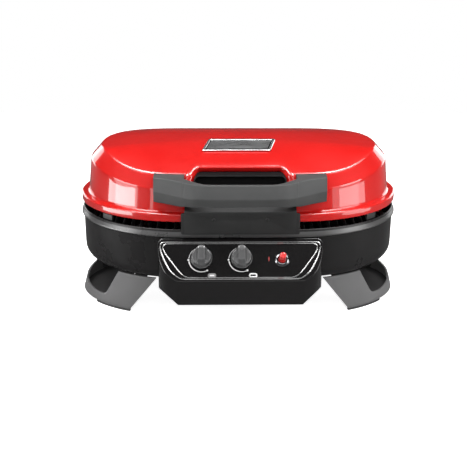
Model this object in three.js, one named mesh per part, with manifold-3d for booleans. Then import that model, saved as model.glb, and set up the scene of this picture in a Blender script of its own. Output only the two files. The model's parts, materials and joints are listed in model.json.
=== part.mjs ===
// Portable two-burner tabletop gas grill. Millimetres, +Z up, front of the grill faces -Y.
import * as THREE from 'three';
import { mergeVertices } from 'three/addons/utils/BufferGeometryUtils.js';
import Module from 'manifold-3d';

const wasm = await Module();
wasm.setup();

// ---------- driving dimensions ----------
const Y_SHIFT = 20.62;       // moves the model so that its bounding box is centred on Y
const GAP = 0.3;             // clearance between touching pieces

const S = 108;               // half length of the straight front and back of every plan outline
const RIM_A = 320, RIM_B = 168, RIM_TOP = 191, RIM_BOT = 180;
const BOX_BOT = 82, BOX_FILLET = 28, BOX_T = 3;

const LID_Y = 4;             // lid centre, a little behind the centre of the firebox
const LIP_A = 319, LIP_B = 159.5, LIP_BOT = 203, LIP_TOP = 217;
const LID_T = 2.5;

const SLOPE_TOP = [-168, 172.5], SLOPE_BOT = [-220, 110];   // control face, [y, z] of its two edges
const PANEL_BOT = 61, PANEL_BACK = -129, PANEL_T = 3;
const KNOB_X = [-73, 2], KNOB_Y = -192.13, KNOB_Z = 143.5, KNOB_R = 20.5;
const IGN_X = 78, IGN_Y = -193.52, IGN_Z = 141.82;

const HINGE_Y = 176, HINGE_Z = 197, HINGE_X = 84, HINGE_R = 6, PIN_R = 3;

const GRATE_A = 299, GRATE_B = 147, GRATE_Z = 158, GRATE_H = 10;
const TUBE_R = 7;
const LEG_T = 4;

const slopeDir = new THREE.Vector2(SLOPE_BOT[0] - SLOPE_TOP[0], SLOPE_BOT[1] - SLOPE_TOP[1]).normalize();
const N_OUT = new THREE.Vector3(0, slopeDir.y, -slopeDir.x);   // outward normal of the control face

// ---------- materials ----------
const mat = (color, roughness, metalness = 0) => new THREE.MeshStandardMaterial({ color, roughness, metalness });
const M = {
  red_enamel: mat(0xd61f1a, 0.18),
  black_enamel: mat(0x1c1b1c, 0.35),
  black_plastic: mat(0x1d1c1d, 0.4),
  gloss_black: mat(0x0e0d0e, 0.12),
  grey_plastic: mat(0x636363, 0.55),
  leg_plastic: mat(0x6f6f6f, 0.55),
  knob_plastic: mat(0x3c3c3d, 0.35),
  red_plastic: mat(0xd23a38, 0.3),
  chrome: mat(0xd8d8d8, 0.12, 1),
  steel: mat(0x9b9b98, 0.35, 1),
  burner_steel: mat(0x85827c, 0.45, 1),
  cast_iron: mat(0x1f1e1d, 0.6),
  brass: mat(0xb5943f, 0.3, 1),
  aluminium: mat(0xb9b9b6, 0.3, 1),
  rubber: mat(0x2b2b2b, 0.8),
  ceramic: mat(0xe8e4da, 0.4),
};

// ---------- geometry helpers ----------
const model = new THREE.Group();
model.position.set(0, Y_SHIFT, 0);

function add(name, geometry, material) {
  const mesh = new THREE.Mesh(geometry, material);
  mesh.name = name;
  model.add(mesh);
  return mesh;
}
function toSolid(geometry) {
  let g = geometry.clone();
  g.deleteAttribute('normal');
  g.deleteAttribute('uv');
  g = mergeVertices(g, 1e-4);
  const triVerts = Uint32Array.from(g.index.array);
  const vertProperties = Float32Array.from(g.attributes.position.array);
  return new wasm.Manifold(new wasm.Mesh({ numProp: 3, vertProperties, triVerts }));
}
function fromSolid(solid) {
  const m = solid.getMesh();
  const n = m.numProp;
  const pos = new Float32Array((m.vertProperties.length / n) * 3);
  for (let i = 0; i < pos.length / 3; i++) for (let k = 0; k < 3; k++) pos[3 * i + k] = m.vertProperties[n * i + k];
  const g = new THREE.BufferGeometry();
  g.setAttribute('position', new THREE.BufferAttribute(pos, 3));
  g.setIndex(new THREE.BufferAttribute(Uint32Array.from(m.triVerts), 1));
  return g;
}
function join(first, ...rest) {
  let s = toSolid(first);
  for (const g of rest) s = s.add(toSolid(g));
  return fromSolid(s);
}
function cut(first, ...rest) {
  let s = toSolid(first);
  for (const g of rest) s = s.subtract(toSolid(g));
  return fromSolid(s);
}
function common(a, b) { return fromSolid(toSolid(a).intersect(toSolid(b))); }

// Closed body from a stack of rings. Each ring has the same number of [x, y, z] points.
function loft(rings, { closed = false } = {}) {
  const n = rings[0].length;
  const pos = [], idx = [];
  for (const r of rings) for (const p of r) pos.push(p[0], p[1], p[2]);
  const quad = (a, b, i) => {
    const j = (i + 1) % n;
    idx.push(a * n + i, a * n + j, b * n + j, a * n + i, b * n + j, b * n + i);
  };
  for (let k = 0; k + 1 < rings.length; k++) for (let i = 0; i < n; i++) quad(k, k + 1, i);
  if (closed) {
    for (let i = 0; i < n; i++) quad(rings.length - 1, 0, i);
  } else {
    for (const [k, flip] of [[0, true], [rings.length - 1, false]]) {
      const c = [0, 0, 0];
      for (const p of rings[k]) for (let q = 0; q < 3; q++) c[q] += p[q] / n;
      const ci = pos.length / 3;
      pos.push(...c);
      for (let i = 0; i < n; i++) {
        const j = (i + 1) % n;
        if (flip) idx.push(k * n + j, k * n + i, ci); else idx.push(k * n + i, k * n + j, ci);
      }
    }
  }
  // turn the faces outward
  let v = 0;
  for (let t = 0; t < idx.length; t += 3) {
    const [a, b, c] = [idx[t] * 3, idx[t + 1] * 3, idx[t + 2] * 3];
    v += pos[a] * (pos[b + 1] * pos[c + 2] - pos[b + 2] * pos[c + 1])
      - pos[a + 1] * (pos[b] * pos[c + 2] - pos[b + 2] * pos[c])
      + pos[a + 2] * (pos[b] * pos[c + 1] - pos[b + 1] * pos[c]);
  }
  if (v < 0) for (let t = 0; t < idx.length; t += 3) [idx[t + 1], idx[t + 2]] = [idx[t + 2], idx[t + 1]];
  const g = new THREE.BufferGeometry();
  g.setAttribute('position', new THREE.Float32BufferAttribute(pos, 3));
  g.setIndex(idx);
  return g;
}

// Plan outline: straight front and back, half-ellipse ends.
const QN = 8, FN = 2;
function outline(a, b, s = S, n = 2) {   // n above 2 squares the rear corners
  const P = [];
  const at = (t, sx) => { const e = Math.sin(t) > 0 ? 2 / n : 1; return [sx * (s + (a - s) * Math.pow(Math.abs(Math.cos(t)), e)), Math.sign(Math.sin(t)) * b * Math.pow(Math.abs(Math.sin(t)), e)]; };
  for (let i = 0; i < 2 * QN; i++) P.push(at(-Math.PI / 2 + (Math.PI * i) / (2 * QN), 1));
  for (let i = 0; i < FN; i++) P.push([s - (2 * s * i) / FN, b]);
  for (let i = 0; i < 2 * QN; i++) P.push(at(Math.PI / 2 + (Math.PI * i) / (2 * QN), -1));
  for (let i = 0; i < FN; i++) P.push([-s + (2 * s * i) / FN, -b]);
  return P;
}
const ring = (a, b, z, y0 = 0, n = 2) => outline(a, b, S, n).map(([x, y]) => [x, y + y0, typeof z === 'function' ? z(y / b) : z]);

function box(x0, x1, y0, y1, z0, z1) {
  const g = new THREE.BoxGeometry(x1 - x0, y1 - y0, z1 - z0);
  g.translate((x0 + x1) / 2, (y0 + y1) / 2, (z0 + z1) / 2);
  return g;
}
// Cylinder between two points.
function rod(p, q, r, sides = 16, r2 = r) {
  const a = new THREE.Vector3(...p), b = new THREE.Vector3(...q);
  const d = b.clone().sub(a);
  const g = new THREE.CylinderGeometry(r2, r, d.length(), sides, 1);
  g.applyQuaternion(new THREE.Quaternion().setFromUnitVectors(new THREE.Vector3(0, 1, 0), d.normalize()));
  g.translate(...a.add(b).multiplyScalar(0.5).toArray());
  return g;
}
// Turned piece: profile of [radius, height] pairs along the outward normal of the control face.
function turned(profile, at, sides = 20, dir = N_OUT) {
  const g = new THREE.LatheGeometry(profile.map(([r, h]) => new THREE.Vector2(r, h)), sides);
  g.deleteAttribute('uv');
  g.applyQuaternion(new THREE.Quaternion().setFromUnitVectors(new THREE.Vector3(0, 1, 0), dir));
  g.translate(...at);
  return fromSolid(toSolid(orient(g)));
}
function orient(g) {
  const m = mergeVertices((() => { const c = g.clone(); c.deleteAttribute('normal'); if (c.attributes.uv) c.deleteAttribute('uv'); return c; })(), 1e-4);
  const p = m.attributes.position.array;
  const src = m.index.array, keep = [];
  for (let t = 0; t < src.length; t += 3) {
    const [a, b, c] = [src[t], src[t + 1], src[t + 2]];
    if (a !== b && b !== c && a !== c) keep.push(a, b, c);
  }
  let v = 0;
  for (let t = 0; t < keep.length; t += 3) {
    const [a, b, c] = [keep[t] * 3, keep[t + 1] * 3, keep[t + 2] * 3];
    v += p[a] * (p[b + 1] * p[c + 2] - p[b + 2] * p[c + 1]) - p[a + 1] * (p[b] * p[c + 2] - p[b + 2] * p[c]) + p[a + 2] * (p[b] * p[c + 1] - p[b + 1] * p[c]);
  }
  if (v < 0) for (let t = 0; t < keep.length; t += 3) [keep[t + 1], keep[t + 2]] = [keep[t + 2], keep[t + 1]];
  m.setIndex(keep);
  return m;
}
// Extruded plan shape between two heights.
function slab(points, z0, z1, holes = []) {
  const sh = new THREE.Shape(points.map(([x, y]) => new THREE.Vector2(x, y)));
  for (const h of holes) sh.holes.push(new THREE.Path(h.map(([x, y]) => new THREE.Vector2(x, y))));
  const g = new THREE.ExtrudeGeometry(sh, { depth: z1 - z0, bevelEnabled: false, steps: 1 });
  g.translate(0, 0, z0);
  return g;
}
// Extruded [y, z] shape along X.
function slabX(points, x0, x1) {
  const sh = new THREE.Shape(points.map(([y, z]) => new THREE.Vector2(y, z)));
  const g = new THREE.ExtrudeGeometry(sh, { depth: x1 - x0, bevelEnabled: false, steps: 1 });
  const m = new THREE.Matrix4().set(0, 0, 1, x0, 1, 0, 0, 0, 0, 1, 0, 0, 0, 0, 0, 1);
  g.applyMatrix4(m);
  return orient(g);
}
// Round tube along a smooth open path.
function pipe(points, r, steps, sides = 10, tension = 'centripetal') {
  const curve = new THREE.CatmullRomCurve3(points.map((p) => new THREE.Vector3(...p)), false, tension);
  const sh = new THREE.Shape();
  for (let i = 0; i < sides; i++) {
    const t = (2 * Math.PI * i) / sides;
    if (i === 0) sh.moveTo(r * Math.cos(t), r * Math.sin(t)); else sh.lineTo(r * Math.cos(t), r * Math.sin(t));
  }
  return orient(new THREE.ExtrudeGeometry(sh, { steps, bevelEnabled: false, extrudePath: curve }));
}
const onFace = (x, y, z, h, u = 0, v = 0) => [x + u, y + N_OUT.y * h - slopeDir.x * v, z + N_OUT.z * h - slopeDir.y * v];

// ---------- firebox ----------
const fil = (r, zc, inset, k) => { const f = (Math.PI / 2) * k; return [inset + r * (1 - Math.cos(f)), zc - r * Math.sin(f)]; };
const outerProfile = [];   // [inset from the rim outline, z], from the bottom up
for (const k of [1, 0.75, 0.5, 0.25, 0]) outerProfile.push(fil(BOX_FILLET, BOX_BOT + BOX_FILLET, 4, k));
outerProfile.push([4, RIM_BOT - 1], [0, RIM_BOT + 2], [0, RIM_TOP - 2.5], [2, RIM_TOP], [6, RIM_TOP], [7, RIM_TOP - 1]);
const innerProfile = [];
for (const k of [0, 0.33, 0.67, 1]) innerProfile.push(fil(BOX_FILLET - BOX_T, BOX_BOT + BOX_FILLET, 7, k));
const boxRing = ([d, z], grow = 0) => ring(RIM_A - d + grow, RIM_B - d + grow, z);
let firebox = loft([...outerProfile.map((p) => boxRing(p)), ...innerProfile.map((p) => boxRing(p))]);
// space the firebox takes up, with a running clearance, for fitting its neighbours
const boxSpace = loft([ring(RIM_A - 32, RIM_B - 32, BOX_BOT - GAP), ...outerProfile.slice(1, 5).map((p) => boxRing(p, GAP)), boxRing([4, 200], GAP)]);

const IN_INLET_Z = 102, IN_Z = 117.3, OUT_Z = 116.5;
firebox = cut(firebox,
  rod([KNOB_X[0], -180, IN_INLET_Z], [KNOB_X[0], -120, IN_INLET_Z], TUBE_R + 0.6, 16),
  rod([KNOB_X[1], -180, OUT_Z], [KNOB_X[1], -120, OUT_Z], TUBE_R + 0.6, 16),
  rod([50, -180, 142], [50, -140, 142], 4.2, 12),
  ...[-1, 1].flatMap((sx) => [-1, 1].map((sy) => rod([sx * 196, sy * 118, 70], [sx * 196, sy * 118, 95], 2.6, 10))));
add('firebox_shell', firebox, M.black_enamel);

// drip tray lying on the floor of the firebox
const FLOOR = BOX_BOT + BOX_T;
const tray = loft([
  ring(150, 100, FLOOR + GAP), ring(162, 106, FLOOR + 2), ring(166, 110, FLOOR + 8.5), ring(164, 108, FLOOR + 8.5), ring(160, 104, FLOOR + 3),
  ring(149, 99, FLOOR + 2),
]);
add('drip_tray', tray, M.steel);

// burners
function loopTube(a, b, s, z, r, steps, sides = 10) {
  const rings = [];
  for (let i = 0; i < steps; i++) {
    const t = (2 * Math.PI * i) / steps;
    const c = Math.cos(t), sn = Math.sin(t);
    const e = 0.72;
    const x = a * Math.sign(c) * Math.pow(Math.abs(c), e), y = b * Math.sign(sn) * Math.pow(Math.abs(sn), e);
    rings.push([x, y]);
  }
  const out = [];
  for (let i = 0; i < steps; i++) {
    const p = rings[i], q = rings[(i + 1) % steps], o = rings[(i + steps - 1) % steps];
    const d = new THREE.Vector2(q[0] - o[0], q[1] - o[1]).normalize();
    const nrm = [d.y, -d.x];
    const rr = [];
    for (let k = 0; k < sides; k++) {
      const f = (2 * Math.PI * k) / sides;
      rr.push([p[0] + nrm[0] * r * Math.cos(f), p[1] + nrm[1] * r * Math.cos(f), z + r * Math.sin(f)]);
    }
    out.push(rr);
  }
  return loft(out, { closed: true });
}
add('burner_outer', join(loopTube(216, 84, 60, OUT_Z, TUBE_R, 32, 8), rod([KNOB_X[1], -165.8, OUT_Z], [KNOB_X[1], -83, OUT_Z], TUBE_R, 12)), M.burner_steel);
add('burner_inner', join(
  rod([-122, 0, IN_Z], [122, 0, IN_Z], 8, 14),
  pipe([[KNOB_X[0], -165.8, IN_INLET_Z], [KNOB_X[0], -120, IN_INLET_Z], [KNOB_X[0], -60, IN_INLET_Z], [KNOB_X[0], -26, IN_INLET_Z + 2], [KNOB_X[0], 0, IN_Z - 1]], TUBE_R - 0.2, 9, 12)), M.burner_steel);
for (const [sx, nm] of [[-1, 'left'], [1, 'right']]) {
  const bx = (x0, x1, ...r) => (sx < 0 ? box(-x1, -x0, ...r) : box(x0, x1, ...r));
  add('burner_support_' + nm, join(bx(96, 244, -9, 9, 106.3, 109), bx(241, 244, -14, 14, FLOOR + GAP, 108), bx(238, 262, -14, 14, FLOOR + GAP, FLOOR + 2.8)), M.steel);
}

// cooking grates and the lugs they rest on
function grate(sx) {
  const gx0 = 1.2, pitch = 17.2, slot = 9.6;
  const half = common(orient(slab(outline(GRATE_A, GRATE_B), GRATE_Z, GRATE_Z + GRATE_H)), box(gx0, 400, -200, 200, 100, 200));
  const slots = [];
  for (let i = 0; i < 16; i++) {
    const x0 = gx0 + 8 + i * pitch;
    for (const [y0, y1] of [[-200, -4], [4, 200]]) slots.push(box(x0, x0 + slot, y0, y1, 100, 200));
  }
  const clipped = common(join(...slots), orient(slab(outline(GRATE_A - 8, GRATE_B - 8), 120, 190)));
  const g = cut(half, clipped);
  return sx < 0 ? orient(g.clone().applyMatrix4(new THREE.Matrix4().makeScale(-1, 1, 1))) : g;
}
add('grate_left', grate(-1), M.cast_iron);
add('grate_right', grate(1), M.cast_iron);
for (const [sy, nm] of [[-1, 'front'], [1, 'back']]) {
  const by = (y0, y1, x0, x1, z0, z1) => (sy < 0 ? box(x0, x1, -y1, -y0, z0, z1) : box(x0, x1, y0, y1, z0, z1));
  add('grate_rest_' + nm, join(by(136, 160.6, -26, 26, GRATE_Z - 2.8, GRATE_Z - GAP), by(158.2, 160.6, -26, 26, GRATE_Z - 22, GRATE_Z - 2)), M.steel);
}
for (const [sx, nm] of [[-1, 'left'], [1, 'right']]) {
  const bx = (x0, x1, ...r) => (sx < 0 ? box(-x1, -x0, ...r) : box(x0, x1, ...r));
  add('grate_rest_' + nm, join(bx(286, 310.6, -14, 14, GRATE_Z - 2.8, GRATE_Z - GAP), bx(308.2, 310.6, -14, 14, GRATE_Z - 22, GRATE_Z - 2)), M.steel);
}

// ---------- control housing ----------
function housingPlan(inset) {
  const half = [[156 - inset, PANEL_BACK - inset], [156 - inset, -170], [154 - inset, -185 + inset * 0.3], [148.5 - inset * 0.9, -198 + inset * 0.5], [138 - inset * 0.65, -210 + inset * 0.8], [120 - inset * 0.25, SLOPE_BOT[0] + inset]];
  return [...half, ...half.map(([x, y]) => [-x, y]).reverse()];
}
function underSlope(depth) {   // everything below the control face, lowered by depth along its normal
  const o = [SLOPE_TOP[0] - N_OUT.y * depth, SLOPE_TOP[1] - N_OUT.z * depth];
  const up = [o[0] - slopeDir.x * 60, o[1] - slopeDir.y * 60], dn = [o[0] + slopeDir.x * 120, o[1] + slopeDir.y * 120];
  return slabX([[dn[0], 20], [-60, 20], [-60, up[1]], up, dn], -200, 200);
}
function cornerWedge(sx, off) {   // what the slanted cut takes from a lower front corner; off moves the cut up into the housing
  const k = PANEL_BOT + off * Math.hypot(1, 1.22), a = 1.07 * sx;
  const g = slabX([[12, k - 14.64], [-40, k + 48.8], [-40, 30], [12, 30]], -80, 80);
  g.rotateZ(a);
  g.translate(sx * 138.5, -180.5, 0);
  return g;
}
const housingOuter = cut(common(orient(slab(housingPlan(0), PANEL_BOT, 174)), underSlope(0)), cornerWedge(-1, 0), cornerWedge(1, 0));
const housingInner = cut(common(orient(slab(housingPlan(PANEL_T), PANEL_BOT + PANEL_T, 190)), underSlope(PANEL_T)), cornerWedge(-1, PANEL_T), cornerWedge(1, PANEL_T));
const faceHole = (x, y, z, r, sides = 20) => rod(onFace(x, y, z, -12), onFace(x, y, z, 12), r, sides);
const housing = cut(housingOuter, housingInner, boxSpace,
  faceHole(KNOB_X[0], KNOB_Y, KNOB_Z, 7), faceHole(KNOB_X[1], KNOB_Y, KNOB_Z, 7), faceHole(IGN_X, IGN_Y, IGN_Z, 7.8),
  rod([120, -140, 71], [120, -120, 71], 6.4, 16));
add('control_housing', housing, M.gloss_black);

// valves, stems, return collars and knobs
for (const [i, nm] of [[0, 'left'], [1, 'right']]) {
  const x = KNOB_X[i], at = [x, KNOB_Y, KNOB_Z];
  const spudZ = i === 0 ? IN_INLET_Z : OUT_Z;
  const body = join(rod(onFace(...at, -24.5), onFace(...at, -14.5), 9, 16),
    rod([x, -178, 89.3], [x, -178, 126], 5.2, 14),
    rod([x, -178, spudZ], [x, -166.4, spudZ], 4, 12));
  add('valve_' + nm, cut(body, rod(onFace(...at, -21), onFace(...at, -10), 3.5, 14)), M.brass);
  add('valve_stem_' + nm, rod(onFace(...at, -17), onFace(...at, 18), 3, 12), M.steel);
  add('return_collar_' + nm, turned([[3.4, -11], [5.6, -11], [5.6, -6.5], [3.4, -6.5], [3.4, -11]], at, 16), M.steel);
  const disc = turned([[3.3, 4], [19, 4], [KNOB_R, 5], [KNOB_R, 7], [17.6, 8.2], [16.2, 22], [14.2, 24], [0, 24], [0, 19], [3.3, 19], [3.3, 4]], at, 20);
  const bar = new THREE.BoxGeometry(10.5, 36, 13);      // raised grip bar
  const q = new THREE.Quaternion().setFromRotationMatrix(new THREE.Matrix4().makeBasis(new THREE.Vector3(1, 0, 0), new THREE.Vector3(0, -slopeDir.x, -slopeDir.y), N_OUT));
  bar.applyQuaternion(q);
  bar.translate(...onFace(...at, 19));
  const bored = cut(join(disc, bar), rod(onFace(...at, 2), onFace(...at, 19), 3.3, 12));
  add('knob_' + nm, bored, M.knob_plastic);
}

// push-button igniter
const ign = [IGN_X, IGN_Y, IGN_Z];
add('ignitor_bezel', turned([[7.7, GAP], [14.2, GAP], [14.2, 1.6], [12.7, 3.8], [9.8, 5.2], [7.7, 5.4], [7.7, GAP]], ign, 24), M.chrome);
add('ignitor_body', turned([[0, -31], [8.8, -31], [8.8, -12], [11, -12], [11, -PANEL_T - GAP], [7.5, -PANEL_T - GAP], [7.5, -15], [0, -15], [0, -31]], ign, 20), M.black_plastic);
add('ignitor_button', turned([[0, -8], [6.9, -8], [6.9, 27.2], [6, 29.4], [3.8, 30.6], [0, 31], [0, -8]], ign, 20), M.red_plastic);
add('electrode', join(rod([50, -173, 142], [50, -112, 142], 3.5, 12), rod([50, -113, 142], [50, -96, 142], 1.2, 8), rod([50, -96.6, 142.4], [50, -92, 127], 1.2, 8)), M.ceramic);
{
  const p0 = onFace(...ign, -32.4);
  const back = onFace(...ign, -36, -3);
  add('ignition_wire', pipe([p0, back, [63, -169.5, 125], [56, -172, 136], [51.5, -177.6, 141.2], [50, -176.5, 142], [50, -173.4, 142]], 1.3, 18, 6), M.rubber);
}

// gas manifold and inlet
add('gas_manifold', join(
  rod([-80, -178, 84], [126, -178, 84], 5, 12), rod([120, -178, 84], [120, -178, 66], 5, 12), rod([120, -178, 71], [120, -133, 71], 5, 12)), M.steel);
add('gas_inlet_fitting', join(
  rod([120, -132.6, 71], [120, -112, 71], 6, 16), rod([120, -124, 71], [120, -118, 71], 9, 6)), M.brass);

// ---------- legs ----------
const LEG_BOT_A = 327, LEG_BOT_B = 145, LEG_TOP_A = 304, LEG_TOP_B = 150, LEG_TOP = 81.5;
function legPoint(x, z, inward) {   // right-hand front quarter: plan position of the wall at a given x and height
  const f = z / LEG_TOP;
  const a = LEG_BOT_A + (LEG_TOP_A - LEG_BOT_A) * f - inward, b = LEG_BOT_B + (LEG_TOP_B - LEG_BOT_B) * f - inward;
  const u = Math.min(0.9999, Math.max(0, (x - S) / (a - S)));
  return [x, -b * Math.sqrt(1 - u * u), z];
}
function wallPatch(cols, t = LEG_T) {   // cols: [xLow, zLow, xHigh, zHigh] from the outer end to the front corner
  const rows = 2, rings = [];
  for (const [x0, z0, x1, z1] of cols) {
    const out = [], inn = [];
    for (let r = 0; r <= rows; r++) {
      const f = r / rows, x = x0 + (x1 - x0) * f, z = z0 + (z1 - z0) * f;
      out.push(legPoint(x, z, 0));
      const p = legPoint(x, z, 0), e = legPoint(Math.max(0, x - 2), z, 0), g2 = legPoint(Math.min(x + 0.5, 326), z, 0);
      const d = new THREE.Vector2(g2[0] - e[0], g2[1] - e[1]).normalize();
      inn.push([p[0] - d.y * t, p[1] + d.x * t, z]);
    }
    rings.push([...out, ...inn.reverse()]);
  }
  return loft(rings);
}
const STRIP_LO = 5;
const RIM_LINE = [[-1.02, 21], [-0.75, 21.5], [-0.5, 22.5], [-0.25, 26], [-0.05, 29], [0.12, 34], [0.32, 37], [0.42, 56], [0.5, 75], [0.56, LEG_TOP], [0.75, LEG_TOP], [0.9, LEG_TOP], [1.02, LEG_TOP]];
function legWall(ang, z, inw) {
  const f = z / LEG_TOP;
  const a = LEG_BOT_A + (LEG_TOP_A - LEG_BOT_A) * f - inw, b = LEG_BOT_B + (LEG_TOP_B - LEG_BOT_B) * f - inw;
  return [S + (a - S) * Math.cos(ang), b * Math.sin(ang), z];
}
function endWall(t = LEG_T) {   // wall round the outer end: low at the front, full height at the back
  return loft(RIM_LINE.map(([ang, top]) => [legWall(ang, STRIP_LO, 0), legWall(ang, (STRIP_LO + top) / 2, 0), legWall(ang, top, 0), legWall(ang, top, t), legWall(ang, (STRIP_LO + top) / 2, t), legWall(ang, STRIP_LO, t)]));
}
const webPts = [];
for (let i = 0; i <= 12; i++) { const p = legWall(-0.98 + (1.96 * i) / 12, STRIP_LO, 2); webPts.push([p[0], p[1]]); }
const legWeb = slab(webPts, STRIP_LO, STRIP_LO + 3);   // floor of the leg, inside the wall
const flipY = (g) => orient(g.clone().applyMatrix4(new THREE.Matrix4().makeScale(1, -1, 1)));
const flipX = (g) => orient(g.clone().applyMatrix4(new THREE.Matrix4().makeScale(-1, 1, 1)));
const PANEL_COLS = [];
for (let i = 0; i <= 4; i++) { const f = i / 4; PANEL_COLS.push([291 - 72 * f, STRIP_LO, 240 - 78 * f, LEG_TOP]); }
const frontPanel = wallPatch(PANEL_COLS);
const tab = slab([[182, -136], [206, -124.5], [202, -108], [178, -108]], LEG_TOP - 2.8, LEG_TOP);
const tabHole = rod([196, -118, 60], [196, -118, 90], 2.6, 10);
let quarterLeg = cut(join(frontPanel, tab), tabHole);
let legRight = fromSolid(toSolid(orient(quarterLeg)).add(toSolid(flipY(quarterLeg))).add(toSolid(endWall())).add(toSolid(orient(legWeb))).subtract(toSolid(boxSpace)));
add('leg_right', legRight, M.leg_plastic);
add('leg_left', flipX(legRight), M.leg_plastic);
const padCols = [];
for (let i = 0; i <= 4; i++) { const f = i / 4; padCols.push([290 - 70.5 * f, 0, 290 - 70.5 * f, STRIP_LO - GAP]); }
const pad = wallPatch(padCols, 6);
for (const [sx, xn] of [[-1, 'left'], [1, 'right']]) for (const [sy, yn] of [[1, 'front'], [-1, 'back']]) {
  let g = pad;
  if (sy < 0) g = flipY(g);
  if (sx < 0) g = flipX(g);
  add(`foot_pad_${yn}_${xn}`, g, M.rubber);
  const sX = sx * 196, sY = -sy * 118;
  add(`leg_screw_${yn}_${xn}`, join(rod([sX, sY, 74.6], [sX, sY, LEG_TOP - 2.8 - GAP], 5, 12), rod([sX, sY, 77], [sX, sY, 88], 2.2, 8)), M.steel);
}

// ---------- lid ----------
const smooth = (lo, hi, t) => { const u = Math.min(1, Math.max(0, (t - lo) / (hi - lo))); return u * u * (3 - 2 * u); };
const zC2 = (t) => 288 - (t < 0 ? 27 * smooth(0.2, 1.05, -t) : 5 * t ** 4);
const zC1 = (t) => 313.8 - (t < 0 ? 24.8 * smooth(0.28, 1, -t) : 5 * t ** 4);
const REAR_N = 2.35;
const C1A = 274, C1B = 127, C2A = 297, C2B = 144;
const DOME_PEAK = 320.5, DOME_PEAK_Y = 20;
function domeRing(rho, drop = 0) {
  return ring(C1A, C1B, zC1, 0, REAR_N).map(([x, y, z]) => {
    const t = Math.abs(y) / C1B;
    const p = 3.4 - 1.2 * t * t;
    const h = z + (DOME_PEAK - z) * (1 - Math.pow(rho, p));
    return [x * rho, y * rho + LID_Y + (DOME_PEAK_Y - LID_Y) * (1 - rho), h - drop];
  });
}
function lidRings(g, t) {   // g grows the outside, t is the wall thickness (0 gives the filled space)
  const out = [
    ring(LIP_A + g, LIP_B + g, LIP_BOT - (t ? 0 : g), LID_Y), ring(LIP_A + g, LIP_B + g, LIP_TOP, LID_Y), ring(LIP_A - 3 + g, LIP_B - 3 + g, LIP_TOP + 2, LID_Y),
    ring(306 + g, 148 + g, LIP_TOP + 2, LID_Y), ring(304 + g, 147 + g, LIP_TOP + 4, LID_Y),
    ring(C2A + g, C2B + g, zC2, LID_Y, 2.15), ring(C2A - 3 + g, C2B - 2.6 + g, (u) => zC2(u) + 4, LID_Y, 2.15), ring(C1A + 3 + g, C1B + 3 + g, (u) => zC1(u) - 2.6, LID_Y, REAR_N),
  ];
  for (const r of [1, 0.9, 0.75, 0.55, 0.3]) out.push(domeRing(r, -g));
  if (!t) return out;
  const inn = [ring(LIP_A - t, LIP_B - t, LIP_BOT, LID_Y), ring(LIP_A - t, LIP_B - t, LIP_TOP - t + 1, LID_Y), ring(304 - t, 147 - t, LIP_TOP - t + 2, LID_Y),
    ring(C2A - t, C2B - t, (u) => zC2(u) - 1, LID_Y, 2.15), ring(C1A, C1B, (u) => zC1(u) - t - 2.4, LID_Y, REAR_N),
    domeRing(0.9, t), domeRing(0.7, t), domeRing(0.35, t)];
  return [...out.reverse(), ...inn];
}
const NOTCH_X = 105, NOTCH_TOP = 293;
const lidSpace = loft(lidRings(GAP + 0.1, 0));
// black bezel: a pocket behind the grip that runs down into the apron over the front of the lip
const APRON_Y = -178, APRON_T = 3, APRON_BOT = 187, APRON_TOP = 232;
const BX = 104.6;
const bezelOuter = slabX([[-105, 292.4], [-126, 292.4], [-150, 262], [-152, 240], [APRON_Y, APRON_TOP], [APRON_Y, APRON_BOT], [APRON_Y + APRON_T, APRON_BOT], [APRON_Y + APRON_T, APRON_TOP - 4], [-148, 226], [-125, 240], [-112, 262], [-105, 286]], -BX, BX);
const bezelPocket = slabX([[-118, 289], [-128, 300], [-200, 300], [-200, 246], [-150, 243.5], [-128, 246], [-119, 262]], -BX + 6, BX - 6);
const bezelWings = join(box(-111, 111, APRON_Y, APRON_Y + APRON_T, APRON_BOT, APRON_TOP));
const bezel = cut(fromSolid(toSolid(bezelOuter).subtract(toSolid(bezelPocket)).add(toSolid(bezelWings))),
  rod([-50, -190, 216], [-50, -160, 216], 2.3, 10), rod([50, -190, 216], [50, -160, 216], 2.3, 10));
add('handle_bezel', bezel, M.black_plastic);
for (const [sx, nm] of [[-1, 'left'], [1, 'right']]) {
  add('bezel_screw_' + nm, join(rod([sx * 50, APRON_Y - 1.8, 216], [sx * 50, APRON_Y - GAP, 216], 3.6, 14), rod([sx * 50, APRON_Y - 1, 216], [sx * 50, APRON_Y + 9, 216], 2, 10)), M.steel);
}
const SCREW_X = 132, SCREW_Z = 251;
let lid = cut(loft(lidRings(0, LID_T)), box(-NOTCH_X, NOTCH_X, -200, -104.6, 190, NOTCH_TOP),
  rod([-SCREW_X, -160, SCREW_Z], [-SCREW_X, -120, SCREW_Z], 2.8, 10), rod([SCREW_X, -160, SCREW_Z], [SCREW_X, -120, SCREW_Z], 2.8, 10));
add('lid_shell', lid, M.red_enamel);

// handle
const HZ0 = 247, HZ1 = 288.6, HEND_Z0 = 241;
const hf = [[163, -130], [163, -152], [140, -162], [118, -176], [96, -189.6], [78, -197.6], [56, -201], [0, -202]], hr = [[104, -130], [98, -148], [68, -184], [0, -187]];
const handlePlan = [...hf.map(([x, y]) => [-x, y]), ...hf.slice(0, -1).reverse(), ...hr, ...hr.slice(0, -1).reverse().map(([x, y]) => [-x, y])];
const endBlock = (sx) => slab([[sx * 163, -130], [sx * 163, -152], [sx * 140, -162], [sx * 118, -172], [sx * 112, -130]], HEND_Z0, HZ0 + 2);
let handle = cut(join(orient(slab(handlePlan, HZ0, HZ1)), orient(endBlock(1)), orient(endBlock(-1))), lidSpace,
  box(-BX - GAP, BX + GAP, -153.4, -100, 230, 300),
  rod([-SCREW_X, -153, SCREW_Z], [-SCREW_X, -120, SCREW_Z], 2.8, 10), rod([SCREW_X, -153, SCREW_Z], [SCREW_X, -120, SCREW_Z], 2.8, 10));
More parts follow.
